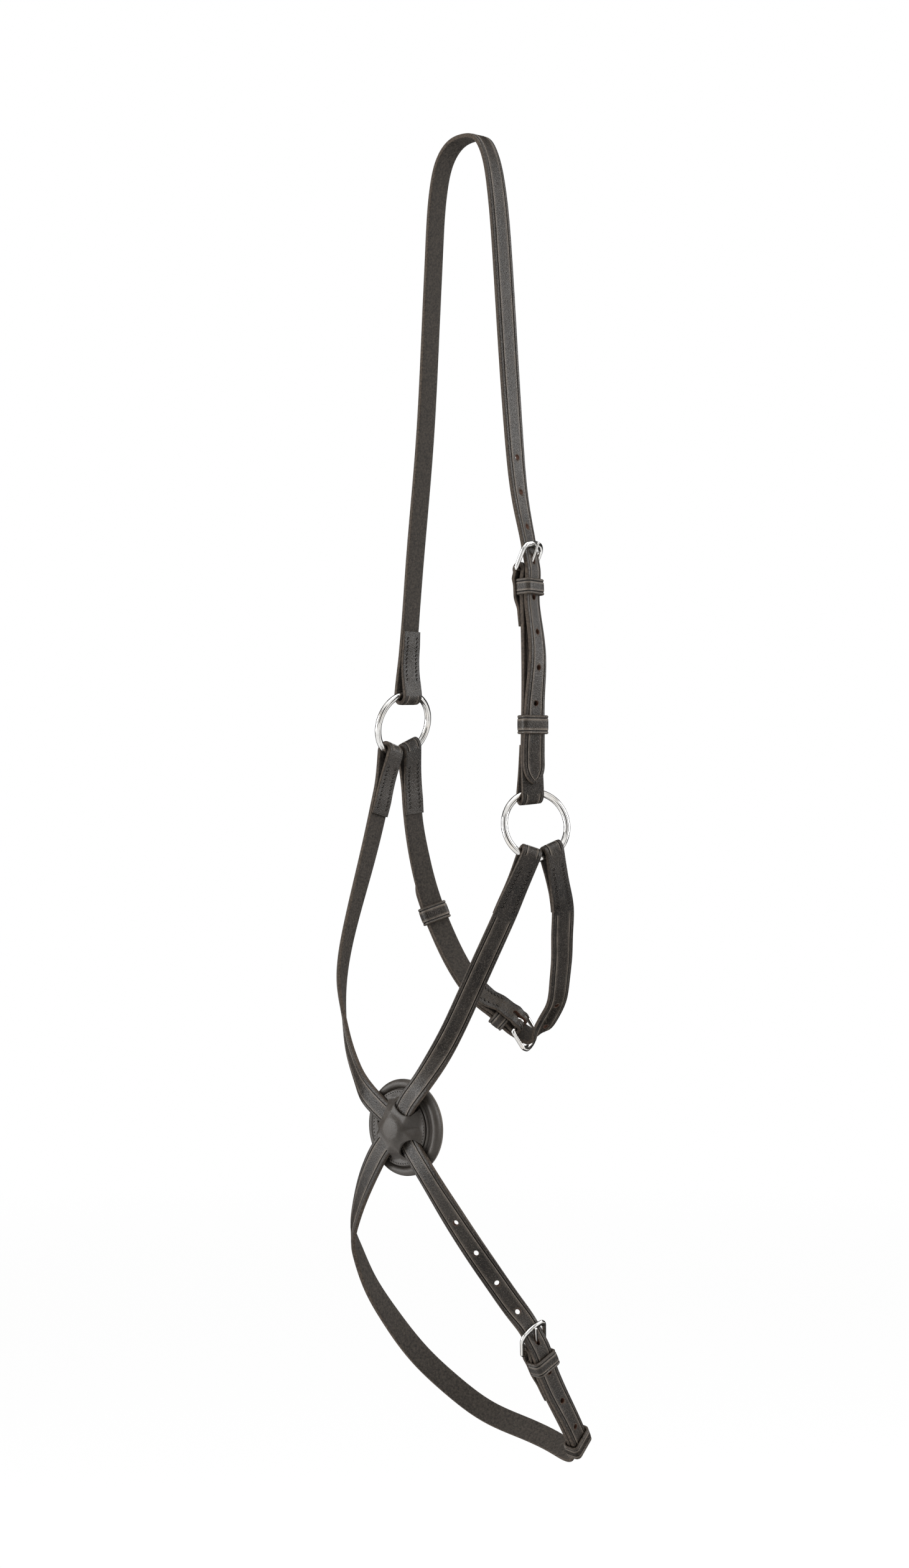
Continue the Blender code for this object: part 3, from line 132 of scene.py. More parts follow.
PAD_FACING = (-88, -12)
PAD_EXITS = {"near_up": 61, "far_up": 146, "far_down": 226, "near_down": 311}
PAD_EDGES = {"near_up": 55, "far_up": 146, "far_down": 228, "near_down": 311}
PAD_EXIT_share = 0.52
PAD_EDGE_share = 1.06
STATION_STEP = 0.021
STATION_TURN = radians(15)

# The routes, in shares: across, along, down, then heading and tilt in degrees
HEAD_LEFT_shares = [
    (-0.930, 0.00, 0.850, 180, 5), (-0.838, 0.00, 0.713, 180, 5), (-0.687, 0.00, 0.512, 180, 5),
    (-0.590, 0.00, 0.304, 180, 4), (-0.535, 0.00, 0.170, 180, 6), (-0.462, 0.00, 0.068, 180, 22),
    (-0.345, 0.00, 0.0215, 180, 45), (-0.185, 0.00, 0.0010, 180, 72),
]
HEAD_RIGHT_shares = [
    (0.165, 0.00, 0.0012, 0, 68), (0.290, 0.00, 0.023, 0, 42), (0.388, 0.00, 0.068, -4, 20),
    (0.490, 0.00, 0.178, -8, 7), (0.574, 0.00, 0.314, -7, 6), (0.668, 0.00, 0.452, -2, 9),
    (0.755, 0.01, 0.540, 5, 10),
]
CHEEK_HEEL_shares = (0.798, 0.017, 0.634)
CHEEK_FACING = (10, 1)
CHEEK_MIDDLE_shares = (0.42, 0.035, -8, 1)
NOSE_LEFT_shares = [
    (-1.115, -0.235, 0.13, 182, 12), (-1.200, -0.400, 0.30, 187, 10),
    (-1.270, -0.565, 0.47, 198, 6), (-1.280, -0.680, 0.63, 210, 0),
    (-1.175, -0.740, 0.72, 226, -3), (-1.010, -0.815, 0.80, 240, -6),
    (-0.810, -0.890, 0.86, 253, -10), (-0.590, -0.950, 0.905, 263, -12),
]
NOSE_RIGHT_shares = [
    (0.880, -0.240, 0.13, -30, 8), (0.732, -0.530, 0.374, -38, 4), (0.615, -0.690, 0.526, -45, 0),
    (0.455, -0.825, 0.678, -56, -4),
]
CHIN_NEAR_shares = [
    (0.433, -0.917, 0.171, -72, -12), (0.575, -0.790, 0.245, -61, -10),
    (0.745, -0.660, 0.333, -48, -8), (0.895, -0.515, 0.416, -35, -6),
    (1.030, -0.345, 0.500, -22, -4),
]
CHIN_FAR_shares = [
    (-0.480, -0.985, 0.135, -104, -12), (-0.720, -0.915, 0.205, -118, -12),
    (-0.925, -0.810, 0.280, -130, -10), (-1.085, -0.690, 0.345, -140, -8),
    (-1.175, -0.540, 0.400, -150, -6), (-1.205, -0.350, 0.490, -163, -8),
    (-1.150, -0.080, 0.605, 178, -12), (-0.970, 0.180, 0.720, 155, -18),
    (-0.700, 0.430, 0.815, 134, -26), (-0.360, 0.670, 0.893, 115, -32),
    (0.060, 0.830, 0.932, 95, -38), (0.430, 0.880, 0.958, 70, -48),
    (0.760, 0.800, 0.968, 48, -50), (0.985, 0.640, 0.940, 30, -30),
]
CHIN_HEEL_shares = (1.090, -0.158, 0.608)
CHIN_FACING = (-9, 4)
CHIN_LINE_shares = [
    (1.100, 0.450, 0.885, 18, -14), (1.145, 0.240, 0.808, 6, -4), (1.135, 0.060, 0.725, -8, 4),
]
JAW_LEFT_shares = [
    (-1.105, 0.215, 0.115, 178, 10), (-1.120, 0.260, 0.265, 174, 6),
    (-1.110, 0.320, 0.370, 168, 4), (-1.085, 0.385, 0.470, 162, 0),
    (-1.017, 0.447, 0.575, 157, -6), (-0.900, 0.510, 0.685, 154, -12),
    (-0.658, 0.538, 0.812, 156, -22), (-0.328, 0.623, 0.932, 161, -33),
]
JAW_HEEL_shares = (-0.083, 0.850, 1.0145)
JAW_FACING = (166, -38)
JAW_RIGHT_shares = [
    (1.100, 0.200, 0.13, -24, 5), (1.020, 0.370, 0.29, -27, 2), (0.890, 0.501, 0.45, -25, -9),
    (0.739, 0.654, 0.62, -17, -21), (0.653, 0.726, 0.71, -13, -28),
    (0.506, 0.843, 0.852, -3, -45), (0.242, 0.975, 0.9953, -10, -60),
]

# Sizes of what only this file draws
CREASE_INSET = 0.0023
CREASE_HALF = 0.00030
CREASE_DEPTH = 0.00038
CREASE_FULL = 0.0012
CREASE_LEAST_share = 0.3
SHOULDER_RISE = 0.00013
PANEL_RISE = 0.00008
# The crease from its outer side in: place in half grooves, shares of the groove's depth, the
# shoulder's rise and the panel's, and how much of it is painted shade in the groove and painted
# highlight on the shoulder
CREASE_ROWS = [
    (2.8, 0, 0, 0, 0, 0), (1.8, 0, 0.4, 0, 0.1, 0.5), (0.9, 0.55, 0, 0, 0.85, 0),
    (0, 1, 0, 0, 1, 0), (-0.9, 0.55, 0, 0, 0.85, 0), (-1.9, 0, 1, 0, 0, 1),
    (-3.4, 0, 0, 1, 0, 0.25),
]
EDGE_ROUND = 0.0008
EDGE_TURNS = (0, 22, 45, 68, 90)
BELOW_ROUND = 0.0005
BELOW_TURNS = (-60, -30, 0)
POINT_END = 0.0008
# A drawn fold's layers come together over this many times the solid's length.
RING_SETTLE_SEEN = 1.7
# The drawn wire is truly round, so its loops are this much roomier than the solids.
RING_ROOM_SEEN = 0.00012
# How much of a lap's middle is shaded as the worn flesh side between its stitches
FOLD_PANEL_share = 0.25
JAW_PANEL_share = 1.0
STITCH_PITCH = 0.0026
STITCH_SINK = 0.00012
STITCH_LENGTH = 0.0015
STITCH_RADIUS = 0.00017
STITCH_INSET = 0.0032
STITCH_LEAN = 35
STITCH_UNEVEN = 0.10
STITCH_TURN = 2.4
STITCH_ROWS = (-1, -0.7, -0.3, 0.3, 0.7, 1)
STITCH_SIDES = 6
PIT_LENGTH = 0.0023
PIT_WIDTH = 0.0011
PIT_SIDES = 10
# Where the stitches of a lap begin, and how far from its end they stop
FACE_STITCH_START = 0.0095
LAP_STITCH_START = 0.0105
LAP_STITCH_ROOM = 0.003
CHAPE_STITCH_START = 0.0185
CHAPE_STITCH_ROOM = 0.002
# A hole's rim: shares of its radius, and how far beyond the strap's face
HOLE_RIM = [(1.15, 0.0006), (1.04, 0), (1, -0.0003)]
BAND_CREASE = 0.0019
BAND_GROOVE = 0.00028
BAND_DIP = 0.00030
BAND_LIP = 0.00010
EDGE_SOFT = 0.0006
PAD_FLAT_RINGS = (0.006, 0.012)
PAD_RIDGE_ARC = (175, 5, 14)
PAD_RIM_ARC = (165, 0, 22)
PAD_EDGE_ARC = (-15, -90, 6)
LINING_ROUND = 0.0005
LINING_BACK_ROUND = 0.0009
LINING_SEAM = [(0.026, 0), (0.0255, 0.0003), (0.025, 0)]
PAD_STITCH_PITCH = 0.0019
PAD_STITCH_SIZE = 0.6
COVER_RIMS = {"near_up": 0.0240, "far_up": 0.0246, "far_down": 0.0238, "near_down": 0.0214}
COVER_CLIMB = 0.0192
COVER_DROP = 0.0072
COVER_PARE_share = 0.5
PAD_STITCH_INSET = 0.0013
COVER_MOUTH = 0.0118
COVER_NECK = 0.0146
COVER_SLOPE = 0.0105
COVER_ARCH = 0.0010
COVER_BLEND = 7
COVER_CROWN = 0.0011
COVER_CROWN_REACH = 0.0085
COVER_ARCH_START = 0.008
COVER_ARCH_LENGTH = 0.008
COVER_LEVEL_share = 0.70
COVER_MIDDLE_share = 0.8
COVER_CORNER_share = 0.25
# The cover's cut edge: how high in its thickness, and how far beyond its outline
COVER_EDGE_ROWS = [(0, -0.0002), (0.2, 0), (0.55, 0.0001), (0.85, -0.0001), (1.0, -0.0005)]

# Colours
GRAIN_DARK, GRAIN_LIGHT = (0.0040, 0.0029, 0.0021), (0.0140, 0.0108, 0.0082)
# The first colour below lightens random patches of the grain: painted sheen for uneven light
GRAIN_SHEEN_PATCH, GRAIN_SPECK = (0.030, 0.0238, 0.0188), (0.082, 0.069, 0.057)
FLESH_DARK, FLESH_LIGHT = (0.010, 0.0078, 0.0060), (0.058, 0.048, 0.039)
PANEL_DARK, PANEL_LIGHT = (0.010, 0.0070, 0.0044), (0.040, 0.030, 0.020)
WORN_DARK, WORN_LIGHT = (0.020, 0.0145, 0.0105), (0.090, 0.068, 0.050)
# Painted highlight on the shoulder beside each crease, and painted shade in its groove
SHOULDER_PAINTED_HIGHLIGHT, CREASE_PAINTED_SHADE = (0.235, 0.196, 0.160), (0.0014, 0.0010, 0.0008)
PAD_DARK, PAD_LIGHT = (0.030, 0.0250, 0.0205), (0.050, 0.0425, 0.0355)
PAD_SPECK = (0.090, 0.078, 0.067)
LINING_DARK, LINING_LIGHT = (0.060, 0.048, 0.038), (0.095, 0.078, 0.062)
LINING_NAP = (0.14, 0.12, 0.10)
STEEL_DULL, STEEL_BRIGHT = (0.70, 0.685, 0.66), (0.86, 0.855, 0.84)
# The second colour is a near-black edge tint that darkens the rims: painted dark reflection
STEEL_WARM, STEEL_DARK_RIM_REFLECTION = (0.80, 0.755, 0.69), (0.02, 0.02, 0.02)
# The lighter thread colour is partly the twist's own strands and partly painted glints
THREAD_DARK, THREAD_LIGHT_GLINT = (0.008, 0.006, 0.005), (0.120, 0.100, 0.080)
RAW_DARK, RAW_LIGHT = (0.030, 0.012, 0.007), (0.13, 0.055, 0.030)
# A stitch's dent: painted shade on a flat disc
PIT_SHADE_DARK, PIT_SHADE_LIGHT = (0.0016, 0.0012, 0.0010), (0.004, 0.003, 0.0024)
FELT_DARK, FELT_LIGHT = (0.010, 0.010, 0.010), (0.016, 0.015, 0.014)
FLOOR_GREY = (0.92, 0.92, 0.92)

# Stage: the camera's place seen along its own direction, and the light
CAMERA_AWAY = 1.8
CAMERA_ASIDE = -0.0096
CAMERA_HEIGHT = -0.414
CAMERA_LENS = 64.3
CAMERA_SENSOR = 36
CAMERA_CLIP = (0.05, 50)
STAGE_AIM = (0, 0, -0.45)
SOFT_LIGHT = 0.50
FLOOR_HEIGHT = -1.10
FLOOR_HALF = 20
# The floor glows from this distance on, up to the next one, by these shares.
FLOOR_GLOW = (0.8, 3.0, 0.85, 1.0)
# Name, place, width and height, watts
LAMPS = [
    ("left", (-1.35, -1.65, -0.35), (1.0, 1.5), 36), ("right", (1.35, 1.35, 0.15), (0.9, 1.2), 26),
    ("top", (0.3, -0.5, 1.5), (1.3, 1.3), 26), ("back", (-1.6, 1.9, 0.5), (1.0, 1.0), 8),
]
# Name, place, width and height, and what a flag faces
FLAGS = [
    ("flag_front", (1.45, -1.45, -0.45), (1.25, 2.4), STAGE_AIM),
    ("flag_near", (1.84, 0.49, -0.4), (0.6, 2.2), STAGE_AIM),
    ("flag_near", (-0.20, -1.95, -0.3), (0.60, 2.2), STAGE_AIM),
    ("flag_side", (-2.35, -0.15, -0.2), (3.0, 3.2), STAGE_AIM),
    ("flag_side", (0.15, 2.35, -0.2), (3.0, 3.2), STAGE_AIM),
    ("flag_above", (-1.1, 1.1, 1.35), (3.2, 2.4), STAGE_AIM),
    ("flag_below", (-1.2, 1.2, -1.08), (3.2, 2.4), (-1.2, 1.2, 0)),
]

# Fineness
STEP = 0.0022
FOLD_STEP = 0.0014
FOLD_STEPS = 22
POINT_STEPS = 16
HOLE_SIDES = 24
RING_STEPS = 180
WIRE_SIDES = 60
FRAME_SIDES = 20
EYE_STEPS = 40
PIN_STEPS = 24
PIN_SIDES = 16
BAND_STEPS = 8
PAD_SIDES = 160
MOUTH_STEPS = 14
LOBE_STEPS = 44
COVER_BANDS = 36
# Edges sharper than this many degrees are shaded sharp.
SHARP = 35
COVER_SHARP = 50
SMOOTH_SHARP = 60
FRAME_SHARP = 70
# In the photograph the holes look this share as wide as the solids'.
HOLE_SEEN = 0.82

HALF_WIDTH = STRAP_WIDTH / 2
HALF_THICK = STRAP_THICK / 2
CHIN_DROP = PAD_DROP + CHIN_SPAN
JAW_DROP = LEFT_DROP + JAW_SPAN
LAYER = STRAP_THICK + LAYER_GAP
RING_RADIUS = (RING_INSIDE + RING_WIRE) / 2
RING_BEND = RING_WIRE / 2 + RING_SLACK + HALF_THICK
EYE_RADIUS = HEEL_RADIUS + HEEL_SLACK + TONGUE_RADIUS
HEEL_BEND = HEEL_RADIUS + HEEL_SLACK + HALF_THICK
BILLET_LIFT = HEEL_BEND + LAYER
FRONT_LIFT = BILLET_LIFT - BILLET_DIP + HALF_THICK + LAYER_GAP + FRONT_CLEAR
FRAME_TILT = asin(FRONT_LIFT / FRAME_LENGTH)
BILLET_LEAD = FRAME_LENGTH * cos(FRAME_TILT)
JAW_LOOP_ANGLE = NOSE_LOOP_ANGLE + LOOP_SPACING_share * degrees(
    2 * asin((LOOP_WIDTH / 2 + KEEPER_SLACK) / RING_RADIUS)
)
PAD_RADIUS = PAD_DIAMETER / 2
PAD_TOP = PAD_PLATEAU + PAD_LINING_THICK + LAYER_GAP
LOWER_LIFT = PAD_LINING_THICK + LAYER_GAP + PAD_RIM_HEIGHT + LAYER_GAP + HALF_THICK
UPPER_LIFT = LOWER_LIFT + LAYER
UP = Vector((0, 0, 1))


def heading(azimuth, tilt):
    """A unit vector from a heading and a tilt in degrees."""
    turn, rise = radians(azimuth), radians(tilt)
    return Vector((cos(turn) * cos(rise), sin(turn) * cos(rise), sin(rise)))


def smooth(t):
    """Ease from 0 to 1."""
    t = min(max(t, 0), 1)
    return t * t * (3 - 2 * t)


def place(shares, top, bottom):
    """A point from shares of the spread, the reach and a drop."""
    across, along, down = shares[:3]
    return Vector((across * HALF_SPREAD, along * HEAD_REACH, -top - down * (bottom - top)))


def places(table, top, bottom):
    """Points and grain directions from a table of shares."""
    return [(place(row, top, bottom), heading(row[3], row[4])) for row in table]


class Frame:
    """A point with three directions: along, out and across."""

    def __init__(self, point, along, out):
        self.point = point.copy()
        self.along = along.normalized()
        self.across = self.along.cross(out).normalized()
        self.out = self.across.cross(self.along)

    def to_world(self, across, along, out):
        return self.point + self.across * across + self.along * along + self.out * out

    def matrix(self):
        axes = Matrix((self.across, self.along, self.out)).transposed()
        return Matrix.Translation(self.point) @ axes.to_4x4()


def spline(marks, values, wanted):
    """A natural cubic spline through values, read at the wanted marks."""
    count = len(marks)
    gaps = np.diff(marks)
    slopes = np.diff(values, axis=0) / gaps[:, None]
    system = np.zeros((count, count))
    right = np.zeros((count, values.shape[1]))
    system[0, 0] = system[-1, -1] = 1
    for i in range(1, count - 1):
        system[i, i - 1:i + 2] = gaps[i - 1], 2 * (gaps[i - 1] + gaps[i]), gaps[i]
        right[i] = 6 * (slopes[i] - slopes[i - 1])
    bends = np.linalg.solve(system, right)
    spans = np.clip(np.searchsorted(marks, wanted, side="right") - 1, 0, count - 2)
    gap = gaps[spans][:, None]
    a = (marks[spans + 1] - wanted)[:, None]
    b = (wanted - marks[spans])[:, None]
    return (
        bends[spans] * a ** 3 / (6 * gap) + bends[spans + 1] * b ** 3 / (6 * gap)
        + (values[spans] / gap - bends[spans] * gap / 6) * a
        + (values[spans + 1] / gap - bends[spans + 1] * gap / 6) * b
    )


class Route:
    """A smooth strap line through points, with the grain side's direction."""

    PER_SPAN = 24

    def __init__(self, knots):
        points = np.array([tuple(p) for p, _ in knots])
        outs = np.array([tuple(n) for _, n in knots])
        chords = np.linalg.norm(np.diff(points, axis=0), axis=1)
        marks = np.concatenate([[0], np.cumsum(chords)])
        spread = [
            np.linspace(a, b, self.PER_SPAN, endpoint=False) for a, b in zip(marks, marks[1:])
        ]
        fine = np.concatenate(spread + [marks[-1:]])
        self.points = [Vector(p) for p in spline(marks, points, fine)]
        self.outs = [Vector(p) for p in spline(marks, outs, fine)]
        self.marks = [0.0]
        for a, b in zip(self.points, self.points[1:]):
            self.marks.append(self.marks[-1] + (b - a).length)
        self.length = self.marks[-1]
        last = len(self.points) - 1
        self.alongs = [
            self.points[min(i + 1, last)] - self.points[max(i - 1, 0)] for i in range(last + 1)
        ]

    def at(self, distance):
        """The frame at a distance along the line."""
        distance = min(max(distance, 0), self.length)
        i = int(np.searchsorted(self.marks, distance, side="right")) - 1
        i = min(max(i, 0), len(self.marks) - 2)
        t = (distance - self.marks[i]) / (self.marks[i + 1] - self.marks[i])
        return Frame(
            self.points[i].lerp(self.points[i + 1], t),
            self.alongs[i].normalized().lerp(self.alongs[i + 1].normalized(), t),
            self.outs[i].normalized().lerp(self.outs[i + 1].normalized(), t),
        )

    def nearest(self, point):
        """The distance along the line of the place nearest to a point."""
        i = min(range(len(self.points)), key=lambda k: (self.points[k] - point).length)
        return self.marks[i]

    def distances(self, start, end):
        """The source's own stations from start to end, which a billet on the strap follows."""
        steps = max(8, ceil((end - start) / (STATION_STEP / 8)))
        dense = [start + (end - start) * i / steps for i in range(steps + 1)]
        frames = [self.at(d) for d in dense]
        costs = [0.0]
        for a, b, d, e in zip(frames, frames[1:], dense, dense[1:]):
            turn = a.along.angle(b.along, 0) + a.out.angle(b.out, 0)
            costs.append(costs[-1] + (e - d) / STATION_STEP + turn / STATION_TURN)
        count = max(1, ceil(costs[-1]))
        wanted = [costs[-1] * i / count for i in range(count + 1)]
        return [float(x) for x in np.interp(wanted, costs, dense)]


class Station:
    """One section of a strap: its middle, its side and its half sizes."""

    def __init__(self, point, across, thick, half, mark, toward=None, fold=None, back=0.0, lap=0.0):
        self.point = point
        self.across = across
        self.thick = thick
        self.half = half
        self.mark = mark
        self.toward = toward
        self.fold = fold
        self.back = back
        self.lap = lap


class Fold:
    """A strap end turned round a wire and stitched back on itself."""

    def __init__(self, bend, lap, settle, keeper_room=0.0, width=STRAP_WIDTH, lean=None):
        self.bend = bend
        self.panel = FOLD_PANEL_share
        self.lap = lap
        self.settle = settle
        self.drawn_settle = settle * (RING_SETTLE_SEEN if lean is not None else 1)
        self.keeper_room = keeper_room
        self.width = width
        self.lean = lean

    def marks(self):
        """The source's stations in the lap, which a billet on it follows."""
        far = self.lap - SKIVE_LENGTH
        steps = max(1, ceil((far - self.settle) / (STATION_STEP / 2)))
        return [self.lap] + [far + (self.settle - far) * i / steps for i in range(steps + 1)]

    def flare(self, distance):
        """How far each layer stands off the middle of the lap."""
        share = min(distance / self.drawn_settle, 1)
        return LAYER / 2 + (self.bend - LAYER / 2) * (1 - share) ** 2 * (1 + share)

    def half_thick(self, distance):
        """Half the lap's thickness, which is pared towards its end."""
        if distance > self.lap - SKIVE_LENGTH:
            pared = (distance - self.lap + SKIVE_LENGTH) / SKIVE_LENGTH
            return (LAP_THICK + (LAP_END_THICK - LAP_THICK) * pared) / 2
        pared = smooth(distance / self.settle)
        return (STRAP_THICK + (LAP_THICK - STRAP_THICK) * pared) / 2

    def half(self, distance):
        """Half the strap's width, which is less round the wire."""
        return (self.width + (STRAP_WIDTH - self.width) * smooth(distance / self.lap)) / 2

    def detour(self, distance):
        """The lap's way round a keeper that is sewn in over it."""
        start = KEEPER_PLACE - KEEPER_WIDTH
        end = KEEPER_PLACE + KEEPER_WIDTH / 2
        rise = smooth((distance - start) / (KEEPER_WIDTH / 2))
        fall = 1 - smooth((distance - end) / KEEPER_WIDTH)
        return self.keeper_room * rise * fall

    def follow(self, across, distance, back):
        """How far a fold is carried along the strap, as its ring curves.

        The wire crosses the strap at a lean, whose sine is given.  The fold
        slants nearly as much, and stands back to clear the wire at both sides.
        """
        if self.lean is None:
            return 0.0
        steep = 1 / sqrt(1 - self.lean ** 2)
        slant = self.lean * steep * FOLD_SLANT_share
        ends = (-self.width / 2, 0, self.width / 2)
        clear = min(self.wire(end) - slant * end for end in ends)
        carried = (clear + slant * across) * (1 - smooth(distance / self.lap))
        return carried - back * (steep - 1)

    def wire(self, across):
        """How far along the strap its wire lies beside the strap's middle."""
        middle = self.lean * RING_RADIUS
        run = sqrt(RING_RADIUS ** 2 - (across - middle) ** 2)
        return run - sqrt(RING_RADIUS ** 2 - middle ** 2)

    def spot(self, route, at_end, mark):
        return route.at(route.length - mark if at_end else mark)

    def toward(self, route, at_end):
        tip = self.spot(route, at_end, 0)
        return -tip.along if at_end else tip.along

    def face(self, route, at_end, mark, across, lap):
        """A point on the lap's outer face or the main layer's, and its outward direction."""
        spot = self.spot(route, at_end, mark)
        toward = self.toward(route, at_end)
        if lap:
            thin = self.half_thick(mark)
            lift = -LAYER / 2 - self.flare(mark) - self.detour(mark) + HALF_THICK - 2 * thin
            out = -spot.out
        else:
            lift = self.flare(mark) - LAYER / 2 + HALF_THICK
            out = spot.out
        point = spot.point + spot.out * lift + spot.across * across
        return point + toward * self.follow(across, mark, 0), out


def spaced(start, end, step):
    """Evenly spaced marks from start to end, both kept."""
    count = max(1, ceil(abs(end - start) / step))
    return [start + (end - start) * i / count for i in range(count + 1)]


def fold_stations(route, fold, at_end):
    """Stations of one folded end, from the lap's end round to the main layer."""
    tip = fold.spot(route, at_end, 0)
    toward = fold.toward(route, at_end)
    marks = spaced(fold.lap, 0, FOLD_STEP)[:-1]
    stations = []
    for mark in marks:
        spot = fold.spot(route, at_end, mark)
        thin = fold.half_thick(mark)
        lift = -LAYER / 2 - fold.flare(mark) - fold.detour(mark) + HALF_THICK - thin
        stations.append(Station(
            spot.point + spot.out * lift, spot.across, thin, fold.half(mark), mark,
            toward, fold, 0.0, fold.panel,
        ))
    centre = tip.point - tip.out * LAYER / 2
    for i in range(FOLD_STEPS + 1):
        turn = pi * i / FOLD_STEPS
        arm = -tip.out * cos(turn) - toward * sin(turn)
        stations.append(Station(
            centre + arm * fold.bend, tip.across, HALF_THICK, fold.half(0), 0,
            toward, fold, fold.bend * sin(turn), 0,
        ))
    for mark in reversed(marks):
        spot = fold.spot(route, at_end, mark)
        stations.append(Station(
            spot.point + spot.out * (fold.flare(mark) - LAYER / 2), spot.across, HALF_THICK,
            fold.half(mark), mark, toward, fold,
        ))
    return stations


def strap_stations(route, start=None, end=None, tip=False):
    """All the sections of a strap, with folds or a point at its ends."""
    begin = start.lap if start else 0
    finish = route.length
    if end:
        finish -= end.lap
    if tip:
        finish -= POINT_LENGTH
    stations = fold_stations(route, start, False) if start else []
    for mark in spaced(begin, finish, STEP)[1 if start else 0:-1 if end else None]:
        spot = route.at(mark)
        stations.append(Station(spot.point, spot.across, HALF_THICK, HALF_WIDTH, mark))
    if tip:
        for i in range(1, POINT_STEPS + 1):
            t = sin(i / POINT_STEPS * pi / 2)
            spot = route.at(finish + POINT_LENGTH * t)
            half = max(HALF_WIDTH * sqrt(1 - t * t), POINT_END)
            stations.append(Station(spot.point, spot.across, HALF_THICK, half, finish))
    if end:
        stations += reversed(fold_stations(route, end, True))
    return stations


def section(half, thick, slope=0.0, sewn=False):
    """A strap's outline, flesh below and grain above.

    Each point is across, out, how far round from flesh to grain, and its shares of painted
    shade in the groove and painted highlight on the shoulder.
    """
    low = min(BELOW_ROUND, thick / 2, half / 3)
    high = min(EDGE_ROUND, thick / 2, half / 3)
    inset = CREASE_INSET * sqrt(1 + slope * slope)
    outer = max(half - inset, half * 0.12)
    share = 0 if sewn else smooth((half - inset) / CREASE_FULL)
    groove = CREASE_HALF * max(share, CREASE_LEAST_share)
    depth, rise, panel = CREASE_DEPTH * share, SHOULDER_RISE * share, PANEL_RISE * share
    right = [(half - low, -thick, 0.0, 0, 0)]
    for turn in BELOW_TURNS:
        t = radians(turn)
        right.append((half - low + low * cos(t), low - thick + low * sin(t), 0.25, 0, 0))
    for turn in EDGE_TURNS:
        t = radians(turn)
        right.append((
            half - high + high * cos(t), thick - high + high * sin(t), 0.5 + turn / 180, 0, 0,
        ))
    right += [
        (outer + groove * beside, thick - depth * down + rise * up + panel * flat, 1,
         dark * share, pale * share)
        for beside, down, up, flat, dark, pale in CREASE_ROWS
    ]
    right.append((outer * 0.5, thick + panel, 1, 0, 0))
    limit = half - high
    right = [(min(x, limit) if y > thick - high and kind == 1 else x, y, kind, g, s)
             for x, y, kind, g, s in right]
    left = [(-x, *rest) for x, *rest in reversed(right)]
    flat = [(share * (half - low), -thick, 0, 0, 0) for share in (-0.5, 0, 0.5)]
    return flat + right + [(0, thick + panel, 1, 0, 0)] + left


def strap_mesh(stations):
    """A closed band lofted through the sections, with its coordinates kept as attributes."""
    mesh = bmesh.new()
    # groove and shoulder are the shares of painted shade in a crease and painted highlight beside
    # it
    names = ("side", "rim", "lap", "groove", "shoulder")
    layers = [mesh.verts.layers.float.new(name) for name in names]
    rings = []
    for i, spot in enumerate(stations):
        before, after = stations[max(i - 1, 0)], stations[min(i + 1, len(stations) - 1)]
        step = after.point - before.point
        along = step.normalized()
        side = (spot.across - along * spot.across.dot(along)).normalized()
        out = side.cross(along)
        ring = []
        slope = abs(after.half - before.half) / step.length
        sewn = spot.fold is not None and spot.back == 0
        outline = section(spot.half, spot.thick, slope, sewn)
        for across_by, out_by, kind, groove, shoulder in outline:
            corner = spot.point + side * across_by + out * out_by
            if spot.fold is not None:
                corner += spot.toward * spot.fold.follow(across_by, spot.mark, spot.back)
            vert = mesh.verts.new(corner)
            kinds = (kind, abs(across_by) / spot.half, spot.lap, groove, shoulder)
            for layer, value in zip(layers, kinds):
                vert[layer] = value
            ring.append(vert)
        rings.append(ring)
    skin(mesh, rings)
    return mesh


def circle(count):
    """Evenly spaced turns round a circle."""
    return [2 * pi * k / count for k in range(count)]


def skin(mesh, rings, closed=False, poles=None):
    """Faces between rings of points, and its ends: capped, joined, or fans to two poles."""
    pairs = list(zip(rings, rings[1:]))
    if closed:
        pairs.append((rings[-1], rings[0]))
    count = len(rings[0])
    for a, b in pairs:
        for i in range(count):
            j = (i + 1) % count
            mesh.faces.new((a[i], a[j], b[j], b[i]))
    if poles:
        for i in range(count):
            j = (i + 1) % count
            mesh.faces.new((poles[0], rings[0][j], rings[0][i]))
            mesh.faces.new((poles[1], rings[-1][i], rings[-1][j]))
    elif not closed:
        mesh.faces.new(list(reversed(rings[0])))
        mesh.faces.new(rings[-1])
    bmesh.ops.recalc_face_normals(mesh, faces=mesh.faces)


# Materials


